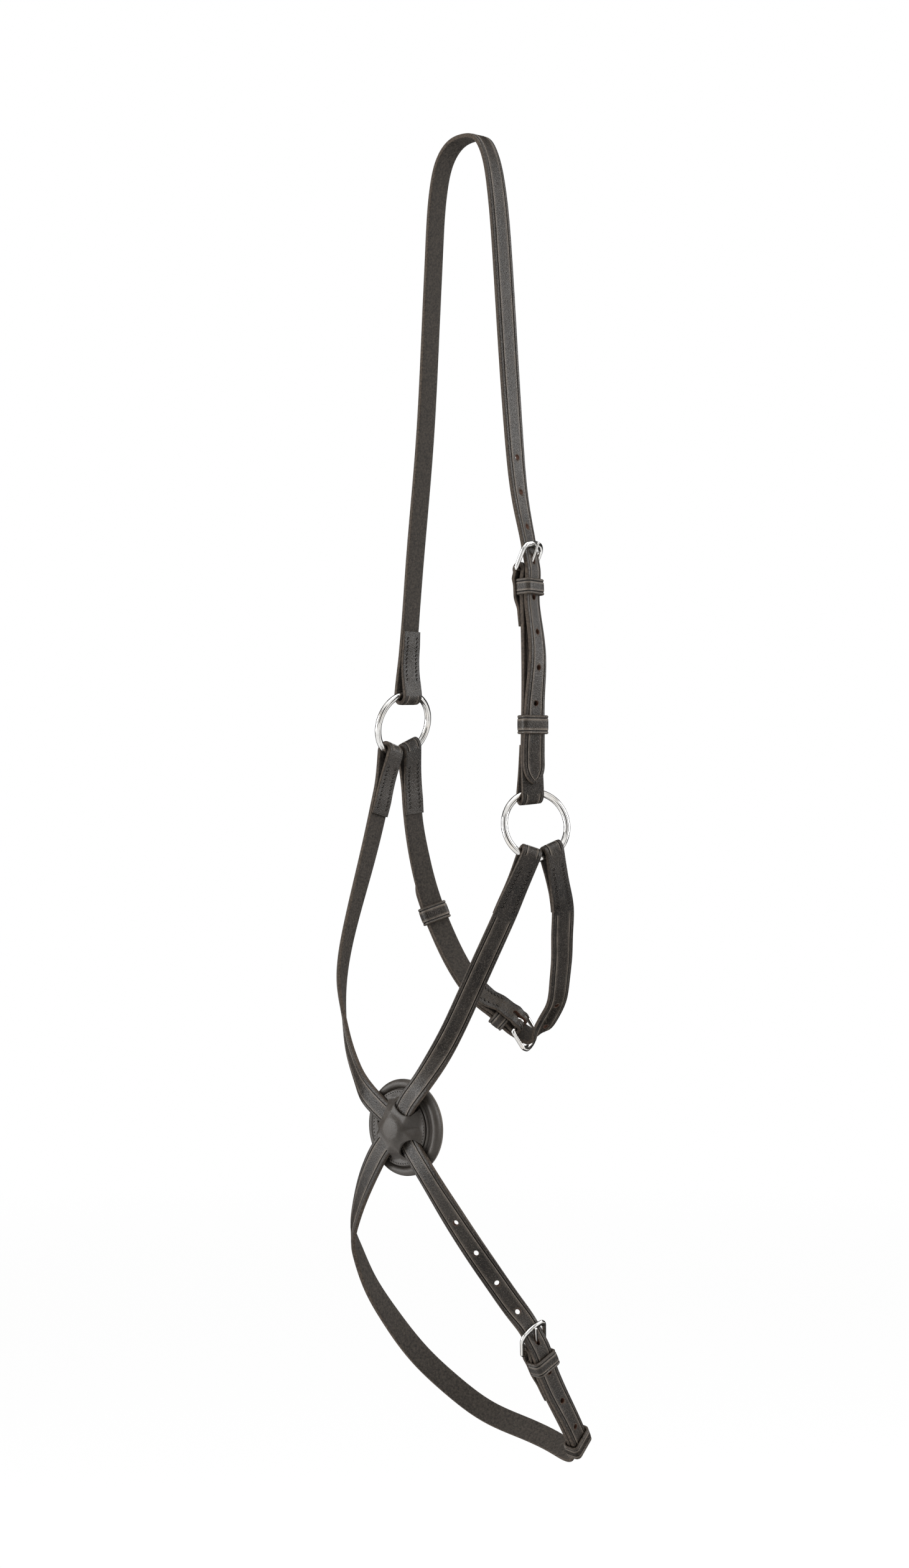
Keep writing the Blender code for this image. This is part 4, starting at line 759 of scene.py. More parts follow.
class Paint:
    """Builds a material's nodes with short calls."""

    def __init__(self, name):
        self.material = bpy.data.materials.new(name)
        self.material.use_nodes = True
        self.tree = self.material.node_tree
        self.tree.nodes.clear()
        self.output = self.node("ShaderNodeOutputMaterial")
        self.shader = self.node("ShaderNodeBsdfPrincipled")
        self.link(self.shader.outputs[0], self.output.inputs[0])

    def node(self, kind, **settings):
        made = self.tree.nodes.new(kind)
        for key, value in settings.items():
            setattr(made, key, value)
        return made

    def link(self, out, into):
        self.tree.links.new(out, into)

    def feed(self, into, value):
        """Sets a socket to a number or colour, or links it."""
        if isinstance(value, bpy.types.NodeSocket):
            self.link(value, into)
        elif isinstance(value, tuple) and len(into.default_value) == 4:
            into.default_value = (*value, 1)
        else:
            into.default_value = value

    def set(self, **values):
        for key, value in values.items():
            self.feed(self.shader.inputs[key.replace("_", " ")], value)

    def attribute(self, name):
        return self.node("ShaderNodeAttribute", attribute_name=name).outputs["Fac"]

    def noise(self, scale, detail=2.0, roughness=0.5):
        made = self.node("ShaderNodeTexNoise")
        self.link(self.coordinates(), made.inputs["Vector"])
        for key, value in (("Scale", scale), ("Detail", detail), ("Roughness", roughness)):
            made.inputs[key].default_value = value
        return made.outputs["Fac"]

    def cells(self, scale):
        made = self.node("ShaderNodeTexVoronoi")
        self.link(self.coordinates(), made.inputs["Vector"])
        made.inputs["Scale"].default_value = scale
        return made.outputs["Distance"]

    def coordinates(self):
        return self.node("ShaderNodeTexCoord").outputs["Object"]

    def math(self, operation, *values, clamp=False):
        made = self.node("ShaderNodeMath", operation=operation, use_clamp=clamp)
        for socket, value in zip(made.inputs, values):
            self.feed(socket, value)
        return made.outputs[0]

    def span(self, value, low, high, to_low=0.0, to_high=1.0):
        made = self.node("ShaderNodeMapRange")
        for socket, number in zip(made.inputs, (value, low, high, to_low, to_high)):
            self.feed(socket, number)
        return made.outputs[0]

    def mix(self, factor, a, b):
        made = self.node("ShaderNodeMix", data_type="RGBA")
        self.feed(made.inputs[0], factor)
        self.feed(made.inputs[6], a)
        self.feed(made.inputs[7], b)
        return made.outputs[2]

    def blend(self, factor, a, b):
        """Mixes two numbers."""
        made = self.node("ShaderNodeMix", data_type="FLOAT")
        self.feed(made.inputs[0], factor)
        self.feed(made.inputs[2], a)
        self.feed(made.inputs[3], b)
        return made.outputs[0]

    def bump(self, *heights):
        """Adds up bumps, each a height and its full depth in metres."""
        normal = None
        for height, depth in heights:
            made = self.node("ShaderNodeBump")
            made.inputs["Distance"].default_value = depth
            self.link(height, made.inputs["Height"])
            if normal is not None:
                self.link(normal, made.inputs["Normal"])
            normal = made.outputs[0]
        self.link(normal, self.shader.inputs["Normal"])


def strap_leather():
    """Bridle leather: satin grain above, matt flesh below, burnished edges."""
    p = Paint("strap_leather_finish")
    side, groove, shoulder = p.attribute("side"), p.attribute("groove"), p.attribute("shoulder")
    grain = p.span(side, 0.45, 0.75)
    edge = p.math("MULTIPLY", p.span(side, 0.1, 0.25), p.span(side, 0.95, 0.55))
    sheen_patch, mottle = p.noise(26, 2, 0.5), p.noise(110, 4, 0.65)
    speck, pores, fibres = p.noise(1250, 3, 0.75), p.cells(1500), p.noise(700, 4, 0.75)
    colour = p.mix(p.span(mottle, 0.35, 0.65), GRAIN_DARK, GRAIN_LIGHT)
    # Random lighter patches: painted sheen, standing in for uneven light on the grain
    colour = p.mix(p.span(sheen_patch, 0.38, 0.66, 0, 0.6), colour, GRAIN_SHEEN_PATCH)
    colour = p.mix(p.span(speck, 0.50, 0.66, 0, 0.8), colour, GRAIN_SPECK)
    fibrous = p.span(fibres, 0.35, 0.65)
    colour = p.mix(grain, p.mix(fibrous, FLESH_DARK, FLESH_LIGHT), colour)
    panel = p.math("MULTIPLY", p.attribute("lap"), p.span(p.attribute("rim"), 0.58, 0.50))
    colour = p.mix(panel, colour, p.mix(fibrous, PANEL_DARK, PANEL_LIGHT))
    worn = p.mix(fibrous, WORN_DARK, WORN_LIGHT)
    colour = p.mix(p.math("MULTIPLY", edge, 0.9), colour, worn)
    # Painted highlight on the crease shoulders, then painted shade in the grooves
    pale = p.math("MULTIPLY", shoulder, p.span(mottle, 0.3, 0.65, 0.45, 1.0))
    colour = p.mix(pale, colour, SHOULDER_PAINTED_HIGHLIGHT)
    colour = p.mix(groove, colour, CREASE_PAINTED_SHADE)
    matt, satin = p.span(fibres, 0.3, 0.7, 0.7, 0.88), p.span(mottle, 0.3, 0.7, 0.26, 0.42)
    rough = p.blend(grain, matt, satin)
    p.set(Base_Color=colour, Roughness=rough, Specular_IOR_Level=0.30)
    p.bump(
        (p.math("MULTIPLY", pores, grain), 0.00012),
        (speck, 0.00016),
        (p.math("MULTIPLY", fibres, p.math("SUBTRACT", 1.0, grain)), 0.00020),
        (mottle, 0.00035),
    )
    return p.material


def pad_leather():
    """Softer leather of the pad, more open grained."""
    p = Paint("pad_leather_finish")
    mottle, speck, pores = p.noise(70, 4, 0.6), p.noise(2600, 3, 0.7), p.cells(2200)
    colour = p.mix(p.span(mottle, 0.3, 0.7), PAD_DARK, PAD_LIGHT)
    colour = p.mix(p.span(speck, 0.48, 0.72, 0, 0.45), colour, PAD_SPECK)
    rough = p.span(mottle, 0.3, 0.7, 0.36, 0.48)
    p.set(Base_Color=colour, Roughness=rough, Specular_IOR_Level=0.35)
    p.bump((pores, 0.00007), (speck, 0.00007), (mottle, 0.0005))
    return p.material


def lining_leather():
    """The pad's soft lining, napped and a little browner."""
    p = Paint("lining_leather_finish")
    fibres, mottle = p.noise(1300, 4, 0.8), p.noise(60, 3)
    colour = p.mix(p.span(mottle, 0.3, 0.7), LINING_DARK, LINING_LIGHT)
    colour = p.mix(p.span(fibres, 0.3, 0.7, 0, 0.4), colour, LINING_NAP)
    p.set(Base_Color=colour, Roughness=0.85, Sheen_Weight=0.3)
    p.bump((fibres, 0.00025), (mottle, 0.0004))
    return p.material


def steel():
    """Polished stainless steel with fine rubbing marks."""
    p = Paint("stainless_steel_finish")
    smear, warm = p.noise(180, 3, 0.6), p.noise(45, 2, 0.5)
    bright = p.mix(p.span(warm, 0.45, 0.65), STEEL_BRIGHT, STEEL_WARM)
    colour = p.mix(p.span(smear, 0.35, 0.65), STEEL_DULL, bright)
    rough = p.span(smear, 0.3, 0.7, 0.09, 0.15)
    # The near-black edge tint darkens grazing reflections at the rims: painted dark reflection
    p.set(Base_Color=colour, Metallic=1.0, Roughness=rough, Specular_Tint=STEEL_DARK_RIM_REFLECTION)
    p.bump((smear, 0.00002))
    return p.material


def thread():
    """Waxed dark thread, twisted."""
    p = Paint("thread_finish")
    twist = p.noise(3200, 2, 0.6)
    # Lighter spots along the twist: partly the thread's strands, partly painted glints
    p.set(Base_Color=p.mix(twist, THREAD_DARK, THREAD_LIGHT_GLINT), Roughness=0.4)
    p.bump((twist, 0.00012))
    return p.material


def raw_leather():
    """The red-brown inside of a punched hole."""
    p = Paint("raw_leather_finish")
    fibres = p.noise(2200, 3, 0.7)
    p.set(Base_Color=p.mix(fibres, RAW_DARK, RAW_LIGHT), Roughness=0.9)
    p.bump((fibres, 0.0001))
    return p.material


def pit_painted_shade():
    """A flat dark disc under each stitch: painted shade of its awl dent."""
    p = Paint("pit_shade_finish")
    colour = p.mix(p.noise(2500), PIT_SHADE_DARK, PIT_SHADE_LIGHT)
    p.set(Base_Color=colour, Roughness=0.95, Specular_IOR_Level=0.1)
    return p.material


def flag_black():
    """Black felt."""
    p = Paint("flag_finish")
    p.set(Base_Color=p.mix(p.noise(300), FELT_DARK, FELT_LIGHT), Roughness=0.95)
    return p.material


STRAP, PAD, LINING, STEEL = strap_leather(), pad_leather(), lining_leather(), steel()
THREAD, RAW, PIT_SHADE, FLAG = thread(), raw_leather(), pit_painted_shade(), flag_black()


def add_object(name, mesh, materials):
    """Turns a bmesh into an object of the scene."""
    data = bpy.data.meshes.new(name)
    mesh.to_mesh(data)
    mesh.free()
    for surface in materials:
        data.materials.append(surface)
    made = bpy.data.objects.new(name, data)
    bpy.context.scene.collection.objects.link(made)
    return made


def add_piece(name, mesh, materials, body, replaced=(), sharp=SHARP):
    """Turns a bmesh into a piece that rides on a body."""
    made = add_object(name, mesh, materials)
    made.data.shade_smooth()
    made.data.set_sharp_from_angle(angle=radians(sharp))
    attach(made, body)
    if replaced:
        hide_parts(*replaced)
    return made


def carve(piece, mesh, surface):
    """Takes a tool out of a piece for good and lines the cut with a surface."""
    tool = add_object("tool", mesh, [surface])
    cut = piece.modifiers.new("cut", "BOOLEAN")
    cut.operation, cut.solver, cut.material_mode = "DIFFERENCE", "EXACT", "TRANSFER"
    cut.object = tool
    bpy.context.view_layer.update()
    graph = bpy.context.evaluated_depsgraph_get()
    done = bpy.data.meshes.new_from_object(piece.evaluated_get(graph))
    piece.modifiers.clear()
    piece.data = done
    done.name = piece.name
    done.set_sharp_from_angle(angle=radians(SHARP))
    bpy.data.objects.remove(tool, do_unlink=True)


def hole_tool(mesh, centre, axis, radius, depth, stretch=None):
    """A spindle that cuts a hole with softened rims."""
    rim = [(radius * wide, depth + beyond) for wide, beyond in HOLE_RIM]
    side = axis.orthogonal().normalized()
    factor = 1
    if stretch:
        direction, factor = stretch
        side = (direction - axis * direction.dot(axis)).normalized()
    other = axis.cross(side)
    rings = []
    for reach, along in [(reach, -along) for reach, along in rim] + rim[::-1]:
        middle = centre + axis * along
        rings.append([
            mesh.verts.new(middle + side * reach * factor * cos(t) + other * reach * sin(t))
            for t in circle(HOLE_SIDES)
        ])
    skin(mesh, rings)


def stitch(mesh, point, along, out, index, size=1.0):
    """One slanted stitch, half sunk in a flat dark disc: painted shade of the dent it pulls in."""
    across = along.cross(out).normalized()
    lean = radians(STITCH_LEAN)
    line = along * cos(lean) + across * sin(lean)
    beside = line.cross(out).normalized()
    length = STITCH_LENGTH * size * (1 + STITCH_UNEVEN * sin(index * STITCH_TURN))
    radius, lift = STITCH_RADIUS * size, out * STITCH_SINK * size
    rings = []
    for t in STITCH_ROWS:
        centre = point + lift + line * t * length / 2 + beside * radius
        centre += out * radius * (0.3 - 1.3 * t ** 4)
        reach = radius * (1 - 0.3 * t * t)
        rings.append([
            mesh.verts.new(centre + beside * reach * cos(a) + out * reach * 0.8 * sin(a))
            for a in circle(STITCH_SIDES)
        ])
    skin(mesh, rings)
    # The dent is a flat disc in the dark material: painted shade
    long, wide = line * PIT_LENGTH * size / 2, beside * PIT_WIDTH * size / 2
    dent = [
        mesh.verts.new(point + lift + long * cos(a) + wide * sin(a)) for a in circle(PIT_SIDES)
    ]
    face = mesh.faces.new(dent)
    face.material_index = 1
    face.normal_update()
    if face.normal.dot(out) < 0:
        face.normal_flip()


def fold_stitches(mesh, route, fold, at_end, first, last, lap):
    """Two rows of stitches along one face of a lap."""
    for sign in (-1, 1):
        def spot(mark):
            return fold.face(route, at_end, mark, sign * (fold.half(mark) - STITCH_INSET), lap)
        count = int((last - first) / STITCH_PITCH)
        for i in range(count + 1):
            mark = first + STITCH_PITCH * i
            point, out = spot(mark)
            onward, _ = spot(mark + 0.001)
            stitch(mesh, point, (onward - point).normalized(), out, i)


# Rings and buckles


class Ring:
    """A steel ring, with the places where the straps go round its wire."""

    def __init__(self, shares, drop, facing):
        self.centre = Vector((shares[0] * HALF_SPREAD, shares[1] * HEAD_REACH, -drop))
        self.out = heading(*facing)
        self.up = (UP - self.out * UP.dot(self.out)).normalized()
        back = self.up.cross(self.out)
        self.back = back if back.y > 0 else -back

    def spoke(self, angle, down=True):
        start = -self.up if down else self.up
        turn = radians(angle)
        return start * cos(turn) + self.back * sin(turn)

    def wire(self, angle, down=True):
        return self.centre + self.spoke(angle, down) * RING_RADIUS


def ring_fold(ring, angle, onward, down=True, lap=LAP_LENGTH, width=STRAP_WIDTH):
    """A fold round a ring's wire towards the next place, and where its strap starts."""
    point = ring.wire(angle, down)
    along = (onward - point).normalized()
    tangent = ring.out.cross(ring.spoke(angle, down))
    out = tangent.cross(along).normalized()
    if out.dot(ring.out) < 0:
        out = -out
    if tangent.dot(along.cross(out)) < 0:
        tangent = -tangent
    fold = Fold(RING_BEND + RING_ROOM_SEEN, lap, RING_FOLD, width=width, lean=along.dot(tangent))
    start = point + out * LAYER / 2
    return fold, [(start, out), (start + along * RING_FOLD, out)]


def make_ring(name, ring):
    mesh = bmesh.new()
    rings = []
    for i in range(RING_STEPS):
        spoke = ring.spoke(360 / RING_STEPS * i)
        centre = ring.centre + spoke * RING_RADIUS
        rings.append([
            mesh.verts.new(centre + (spoke * cos(a) + ring.out * sin(a)) * RING_WIRE / 2)
            for a in circle(WIRE_SIDES)
        ])
    skin(mesh, rings, closed=True)
    return add_piece(name + "_polished", mesh, [STEEL], name, [name])


def frame_path():
    """The buckle frame's middle line and half sizes: heel bar, side, front bar and side."""
    half = HALF_WIDTH + FRAME_ROOM + SIDE_RADIUS
    right = []
    start, end = HEEL_CORNER, FRAME_LENGTH - FRAME_CORNER
    for i in range(9):
        t = pi / 2 * (1 - i / 8)
        x, y = half - start + start * cos(t), start - start * sin(t)
        right.append((x, y, SIDE_RADIUS, SIDE_RADIUS))
    for i in range(1, 8):
        right.append((half, start + (end - start) * i / 8, SIDE_RADIUS, SIDE_RADIUS))
    for i in range(15):
        t = i / 14
        turn = pi / 2 * t
        right.append((
            half - FRAME_CORNER + FRAME_CORNER * cos(turn), end + FRAME_CORNER * sin(turn),
            SIDE_RADIUS + (FRONT_HALF_WIDTH - SIDE_RADIUS) * smooth(t),
            SIDE_RADIUS + (FRONT_HALF_THICK - SIDE_RADIUS) * smooth(t),
        ))
    reach = half - FRAME_CORNER
    front = [
        (reach * (1 - i / 6), FRAME_LENGTH, FRONT_HALF_WIDTH, FRONT_HALF_THICK)
        for i in range(1, 12)
    ]
    heel = [(reach * share, 0, HEEL_RADIUS, HEEL_RADIUS) for share in (-1, -0.5, 0, 0.5, 1)]
    left = [(-x, y, wide, thick) for x, y, wide, thick in reversed(right)]
    return heel + right + front + left


def bowed(x, y):
    """A place on the flat frame, moved on as its front bar is bowed."""
    bow = FRONT_BOW * max(0, 1 - (x / (HALF_WIDTH + FRAME_ROOM)) ** 2)
    return Vector((x, y + bow * smooth((y - FRAME_LENGTH / 2) / (FRAME_LENGTH / 2)), 0))


def make_frame(prefix, buckle):
    """The flat-fronted steel frame, tilted so that its front bar lies on the billet."""
    mesh = bmesh.new()
    path = frame_path()
    place_it = buckle.matrix() @ Matrix.Rotation(FRAME_TILT, 4, "X")
    rings = []
    for i, (x, y, wide, thick) in enumerate(path):
        middle = bowed(x, y)
        before, after = bowed(*path[i - 1][:2]), bowed(*path[(i + 1) % len(path)][:2])
        flat = (after - before).normalized()
        side = Vector((flat.y, -flat.x, 0))
        ring = []
        for a in circle(FRAME_SIDES):
            spot = middle + side * wide * cos(a)
            spot.z = thick * sin(a)
            ring.append(mesh.verts.new(place_it @ spot))
        rings.append(ring)
    skin(mesh, rings, closed=True)
    add_steel(prefix, "frame", mesh, FRAME_SHARP)


def add_steel(prefix, kind, mesh, sharp):
    """A buckle's piece in polished steel, on its own body."""
    name = "%s_buckle_%s" % (prefix, kind)
    body = "%s_%s" % (prefix, kind)
    add_piece(name + "_polished", mesh, [STEEL], body, [name], sharp)


def tongue_slope():
    """The tongue's rise: from its eye it lies over the middle of the front bar."""
    over = FRONT_HALF_THICK + LAYER_GAP + TONGUE_RADIUS
    front = FRAME_LENGTH + FRONT_BOW
    return FRAME_TILT + atan2(over, front) - asin(EYE_RADIUS / hypot(front, over))


def make_tongue(prefix, buckle):
    """A bent steel pin whose eye goes round the heel bar."""
    slope = tongue_slope()
    start = slope + pi / 2
    span = 2 * pi - acos(1 - (TONGUE_RADIUS * 2 + LAYER_GAP) / EYE_RADIUS)
    line = []
    for i in range(EYE_STEPS + 1):
        turn = start + span * (1 - i / EYE_STEPS)
        line.append((EYE_RADIUS * cos(turn), EYE_RADIUS * sin(turn), TONGUE_RADIUS))
    run = FRAME_LENGTH + FRONT_BOW + TONGUE_OVERHANG
    pin = []
    for i in range(1, PIN_STEPS + 1):
        share = i / PIN_STEPS
        pin.append((run * share, TONGUE_RADIUS + (TONGUE_TIP_RADIUS - TONGUE_RADIUS) * share ** 2))
    for t in (0.5, 0.85, 0.98):
        pin.append((run + TONGUE_TIP_RADIUS * t * 0.8, TONGUE_TIP_RADIUS * sqrt(1 - t * t)))
    y, z = EYE_RADIUS * cos(start), EYE_RADIUS * sin(start)
    line += [(y + reach * cos(slope), z + reach * sin(slope), radius) for reach, radius in pin]
    mesh = bmesh.new()
    rings = []
    matrix = buckle.matrix()
    for i, (y, z, radius) in enumerate(line):
        y0, z0 = line[max(i - 1, 0)][:2]
        y1, z1 = line[min(i + 1, len(line) - 1)][:2]
        along = Vector((0, y1 - y0, z1 - z0)).normalized()
        up = Vector((1, 0, 0)).cross(along)
        rings.append([
            mesh.verts.new(matrix @ (Vector((radius * cos(a), y, z)) + up * radius * sin(a)))
            for a in circle(PIN_SIDES)
        ])
    skin(mesh, rings)
    add_steel(prefix, "tongue", mesh, SMOOTH_SHARP)


def tongue_crossing():
    """How far beyond the heel bar the tongue passes the billet's middle."""
    slope = tongue_slope()
    start = slope + pi / 2
    rise = BILLET_LIFT - EYE_RADIUS * sin(start) + EYE_RADIUS * cos(start) * tan(slope)
    return rise / (tan(slope) + BILLET_DIP / BILLET_LEAD)


def tongue_place(buckle, along):
    return buckle.to_world(0, along, BILLET_LIFT - BILLET_DIP * along / BILLET_LEAD)


# Keepers


def strap_room(spot, width, routes):
    """How far straps reach from a band's middle: sideways, down and up."""
    sides, outs = [], []
    for route in routes:
        middle = route.nearest(spot.point)
        for step in (-width / 2, 0, width / 2):
            there = route.at(middle + step)
            for across in (-HALF_WIDTH, HALF_WIDTH):
                for out in (-HALF_THICK, HALF_THICK):
                    away = there.to_world(across, 0, out) - spot.point
                    sides.append(abs(away.dot(spot.across)))
                    outs.append(away.dot(spot.out))
    return max(sides), min(outs), max(outs)


def make_band(name, spot, routes, width, body):
    """A leather band round the straps, creased beside both its edges."""
    mesh = bmesh.new()
    layers = [mesh.verts.layers.float.new(kind) for kind in ("side", "groove", "shoulder")]
    aside, low, high = strap_room(spot, width, routes)
    half = aside + KEEPER_SLACK + KEEPER_WALL / 2
    bottom, top = low - KEEPER_SLACK - KEEPER_WALL / 2, high + KEEPER_SLACK + KEEPER_WALL / 2
    corner = KEEPER_CORNER
    quarter = pi / 2
    corners = [(half - corner, top - corner), (corner - half, top - corner),
               (corner - half, bottom + corner), (half - corner, bottom + corner)]
    path = []
    for quadrant, (x, z) in enumerate(corners):
        for i in range(BAND_STEPS + 1):
            turn = quarter * (quadrant + i / BAND_STEPS)
            path.append((x + corner * cos(turn), z + corner * sin(turn), turn))
        x1, z1 = corners[(quadrant + 1) % 4]
        turn = quarter * (quadrant + 1)
        for i in range(1, BAND_STEPS):
            t = i / BAND_STEPS
            flat_x, flat_z = x + (x1 - x) * t, z + (z1 - z) * t
            path.append((flat_x + corner * cos(turn), flat_z + corner * sin(turn), turn))
    wall, wide = KEEPER_WALL / 2, width / 2
    crease = wide - BAND_CREASE
    # Rows: out, along, side, painted shade of the groove and painted highlight of the shoulder
    right = [
        (-wall, wide - EDGE_SOFT, 0.0, 0, 0), (-wall * 0.6, wide - EDGE_SOFT * 0.2, 0.3, 0, 0),
        (0, wide, 0.5, 0, 0), (wall * 0.6, wide - EDGE_SOFT * 0.2, 0.7, 0, 0),
        (wall + BAND_LIP, wide - EDGE_SOFT, 1.0, 0, 0.25),
        (wall + BAND_LIP * 0.6, crease + BAND_GROOVE * 2.2, 1, 0, 0.4),
        (wall - BAND_DIP * 0.5, crease + BAND_GROOVE, 1, 0.8, 0),
        (wall - BAND_DIP, crease, 1, 1, 0),
        (wall - BAND_DIP * 0.5, crease - BAND_GROOVE, 1, 0.8, 0),
        (wall + BAND_LIP, crease - BAND_GROOVE * 2, 1, 0, 0.8),
        (wall + BAND_LIP * 1.4, crease * 0.45, 1, 0, 0),
    ]
    outline = right + [(wall + BAND_LIP * 1.5, 0, 1, 0, 0)]
    outline += [(o, -a, *rest) for o, a, *rest in reversed(right)] + [(-wall, 0, 0, 0, 0)]
    rings = []
    for x, z, turn in path:
        ring = []
        for out, along, *kinds in outline:
            vert = mesh.verts.new(spot.to_world(x + out * cos(turn), along, z + out * sin(turn)))
            for layer, kind in zip(layers, kinds):
                vert[layer] = kind
            ring.append(vert)
        rings.append(ring)
    skin(mesh, rings, closed=True)
    add_piece(name + "_creased", mesh, [STRAP], body, [name])


def make_fittings(prefix, body, buckle, routes, runner_place):
    """The keeper, the loose runner, the frame and the tongue of one buckle."""
    for name, back, width, rides in (
        (prefix + "_keeper", KEEPER_PLACE, KEEPER_WIDTH, body),
        (prefix + "_runner", runner_place, RUNNER_WIDTH, prefix + "_runner"),
    ):
        make_band(name, routes[0].at(routes[0].length - back), routes, width, rides)
    make_frame(prefix, buckle)
    make_tongue(prefix, buckle)


# Straps


def chape_fold():
    return Fold(HEEL_BEND, CHAPE_LENGTH, CHAPE_FOLD, keeper_room=KEEPER_ROOM)


def chape_rows(before, heel, facing):
    """The straight end of a chape, up to the middle of its heel bar."""
    out = heading(*facing)
    end = heel + out * LAYER / 2
    step = (end - before).normalized() * CHAPE_STRAIGHT
    return [(end - step, out), (end - step / 2, out), (end, out)]


def buckle_at(route):
    end = route.at(route.length)
    return Frame(end.point - end.out * LAYER / 2, end.along, end.out)


def shared_marks(route, reach, ring_end=None):
    """The billet's distances back from the heel bar, as the source spaces them."""
    chape = chape_fold()
    far = route.length - ring_end.lap if ring_end else reach
    run = route.distances(route.length - far, route.length - chape.lap)
    shared = chape.marks()[::-1] + [route.length - mark for mark in run[-2::-1]]
    if ring_end:
        shared += [route.length - mark for mark in ring_end.marks()[1:]]
        shared.append(reach)
    return shared


def billet_rows(route, buckle, shared, bow=None, ring_end=None, fronts=BILLET_FRONT_shares):
    """Places of a billet that lies on a strap, from the front bar to its tip."""
    fall = (buckle.out + buckle.along * BILLET_DIP / BILLET_LEAD).normalized()
    rows = [(tongue_place(buckle, BILLET_LEAD * share), fall) for share in fronts]
    rows.append((buckle.to_world(0, -BILLET_LEAD * BILLET_BACK_share, BILLET_LIFT), buckle.out))
    settle = KEEPER_PLACE + KEEPER_WIDTH
    for distance in shared:
        spot = route.at(route.length - distance)
        lift = LAYER + (BILLET_LIFT - LAYER / 2 - LAYER) * (1 - smooth(distance / settle))
        if ring_end:
            lift += ring_end.flare(route.length - distance) - LAYER / 2
        if bow:
            lift += bow(distance)
        rows.append((spot.point + spot.out * lift, spot.out))
    return rows


def add_strap(name, body, route, start=None, end=None, tip=False):
    mesh = strap_mesh(strap_stations(route, start, end, tip))
    return add_piece(name + "_grained", mesh, [STRAP], body, [name])


def punch(strap, route, buckle, before, after):
    """The round holes of a billet and the oblong one its tongue is in."""
    mark = route.nearest(tongue_place(buckle, tongue_crossing()))
    mesh = bmesh.new()
    for i in range(-before, after + 1):
        if i != 0:
            spot = route.at(mark + HOLE_PITCH * i)
            hole_tool(mesh, spot.point, spot.out, HOLE_DIAMETER / 2 * HOLE_SEEN, HALF_THICK)
    slope, wide = tongue_slope(), TONGUE_RADIUS + LAYER_GAP
    axis = buckle.along * cos(slope) + buckle.out * sin(slope)
    lifted = buckle.out * cos(slope) - buckle.along * sin(slope)
    middle = tongue_place(buckle, tongue_crossing()) + lifted * TONGUE_PLAY / 2
    factor = 1 + TONGUE_PLAY / 2 / wide
    hole_tool(mesh, middle, axis, wide, TONGUE_HOLE_LENGTH / 2, (lifted, factor))
    carve(strap, mesh, RAW)


def cut_slot(strap, buckle):
    """The slot in a chape that the tongue's eye turns in, with round ends."""
    half = TONGUE_RADIUS + SLOT_ROOM
    low, high = -HEEL_BEND - STRAP_THICK, SLOT_LENGTH
    mesh = bmesh.new()
    line = [(half * cos(t), high - half + half * sin(t)) for t in (pi * k / 10 for k in range(11))]
    line += [(-half, low), (half, low)]
    rings = [
        [mesh.verts.new(buckle.to_world(x, -y, z)) for x, y in line]
        for z in (-2 * HEEL_BEND, 2 * HEEL_BEND)
    ]
    skin(mesh, rings)
    carve(strap, mesh, RAW)


def ring_run(route, fold, lap, first=LAP_STITCH_START):
    """A run of stitches on the lap of a ring's fold, or on the strap's own face over it."""
    return route, fold, False, first, fold.lap - LAP_STITCH_ROOM, lap


def ring_runs(route, fold):
    return [ring_run(route, fold, False, FACE_STITCH_START), ring_run(route, fold, True)]


def chape_run(route, fold):
    return route, fold, True, CHAPE_STITCH_START, fold.lap - CHAPE_STITCH_ROOM, True


def add_stitches(name, body, runs):
    """One piece for all the stitches of a strap."""
    mesh = bmesh.new()
    for run in runs:
        fold_stitches(mesh, *run)
    add_piece(name + "_stitches", mesh, [THREAD, PIT_SHADE], body, sharp=SMOOTH_SHARP)


def lower_end(ring, angle, table, drop, bottom):
    """A lower strap's fold and first places; the table's first row only aims the fold."""
    onward = places(table, drop + RING_RADIUS, bottom)
    fold, rows = ring_fold(ring, angle, onward[0][0], width=LOOP_WIDTH)
    return fold, rows + onward[1:]


def pad_place(pad, angle, radius, lift):
    turn = radians(angle)
    return pad.to_world(radius * cos(turn), radius * sin(turn), lift)


def crossing(pad, first, last, first_lift, middle_lift, last_lift):
    """Places of a strap across the pad, with its heights at the first edge, within and last."""
    edge, inner = PAD_RADIUS * PAD_EDGE_share, PAD_RADIUS * PAD_EXIT_share
    return [
        (pad_place(pad, PAD_EDGES[first], edge, first_lift), pad.out),
        (pad_place(pad, PAD_EXITS[first], inner, middle_lift), pad.out),
        (pad_place(pad, PAD_EXITS[first], 0, middle_lift), pad.out),
        (pad_place(pad, PAD_EXITS[last], inner, middle_lift), pad.out),
        (pad_place(pad, PAD_EDGES[last], edge, last_lift), pad.out),
    ]


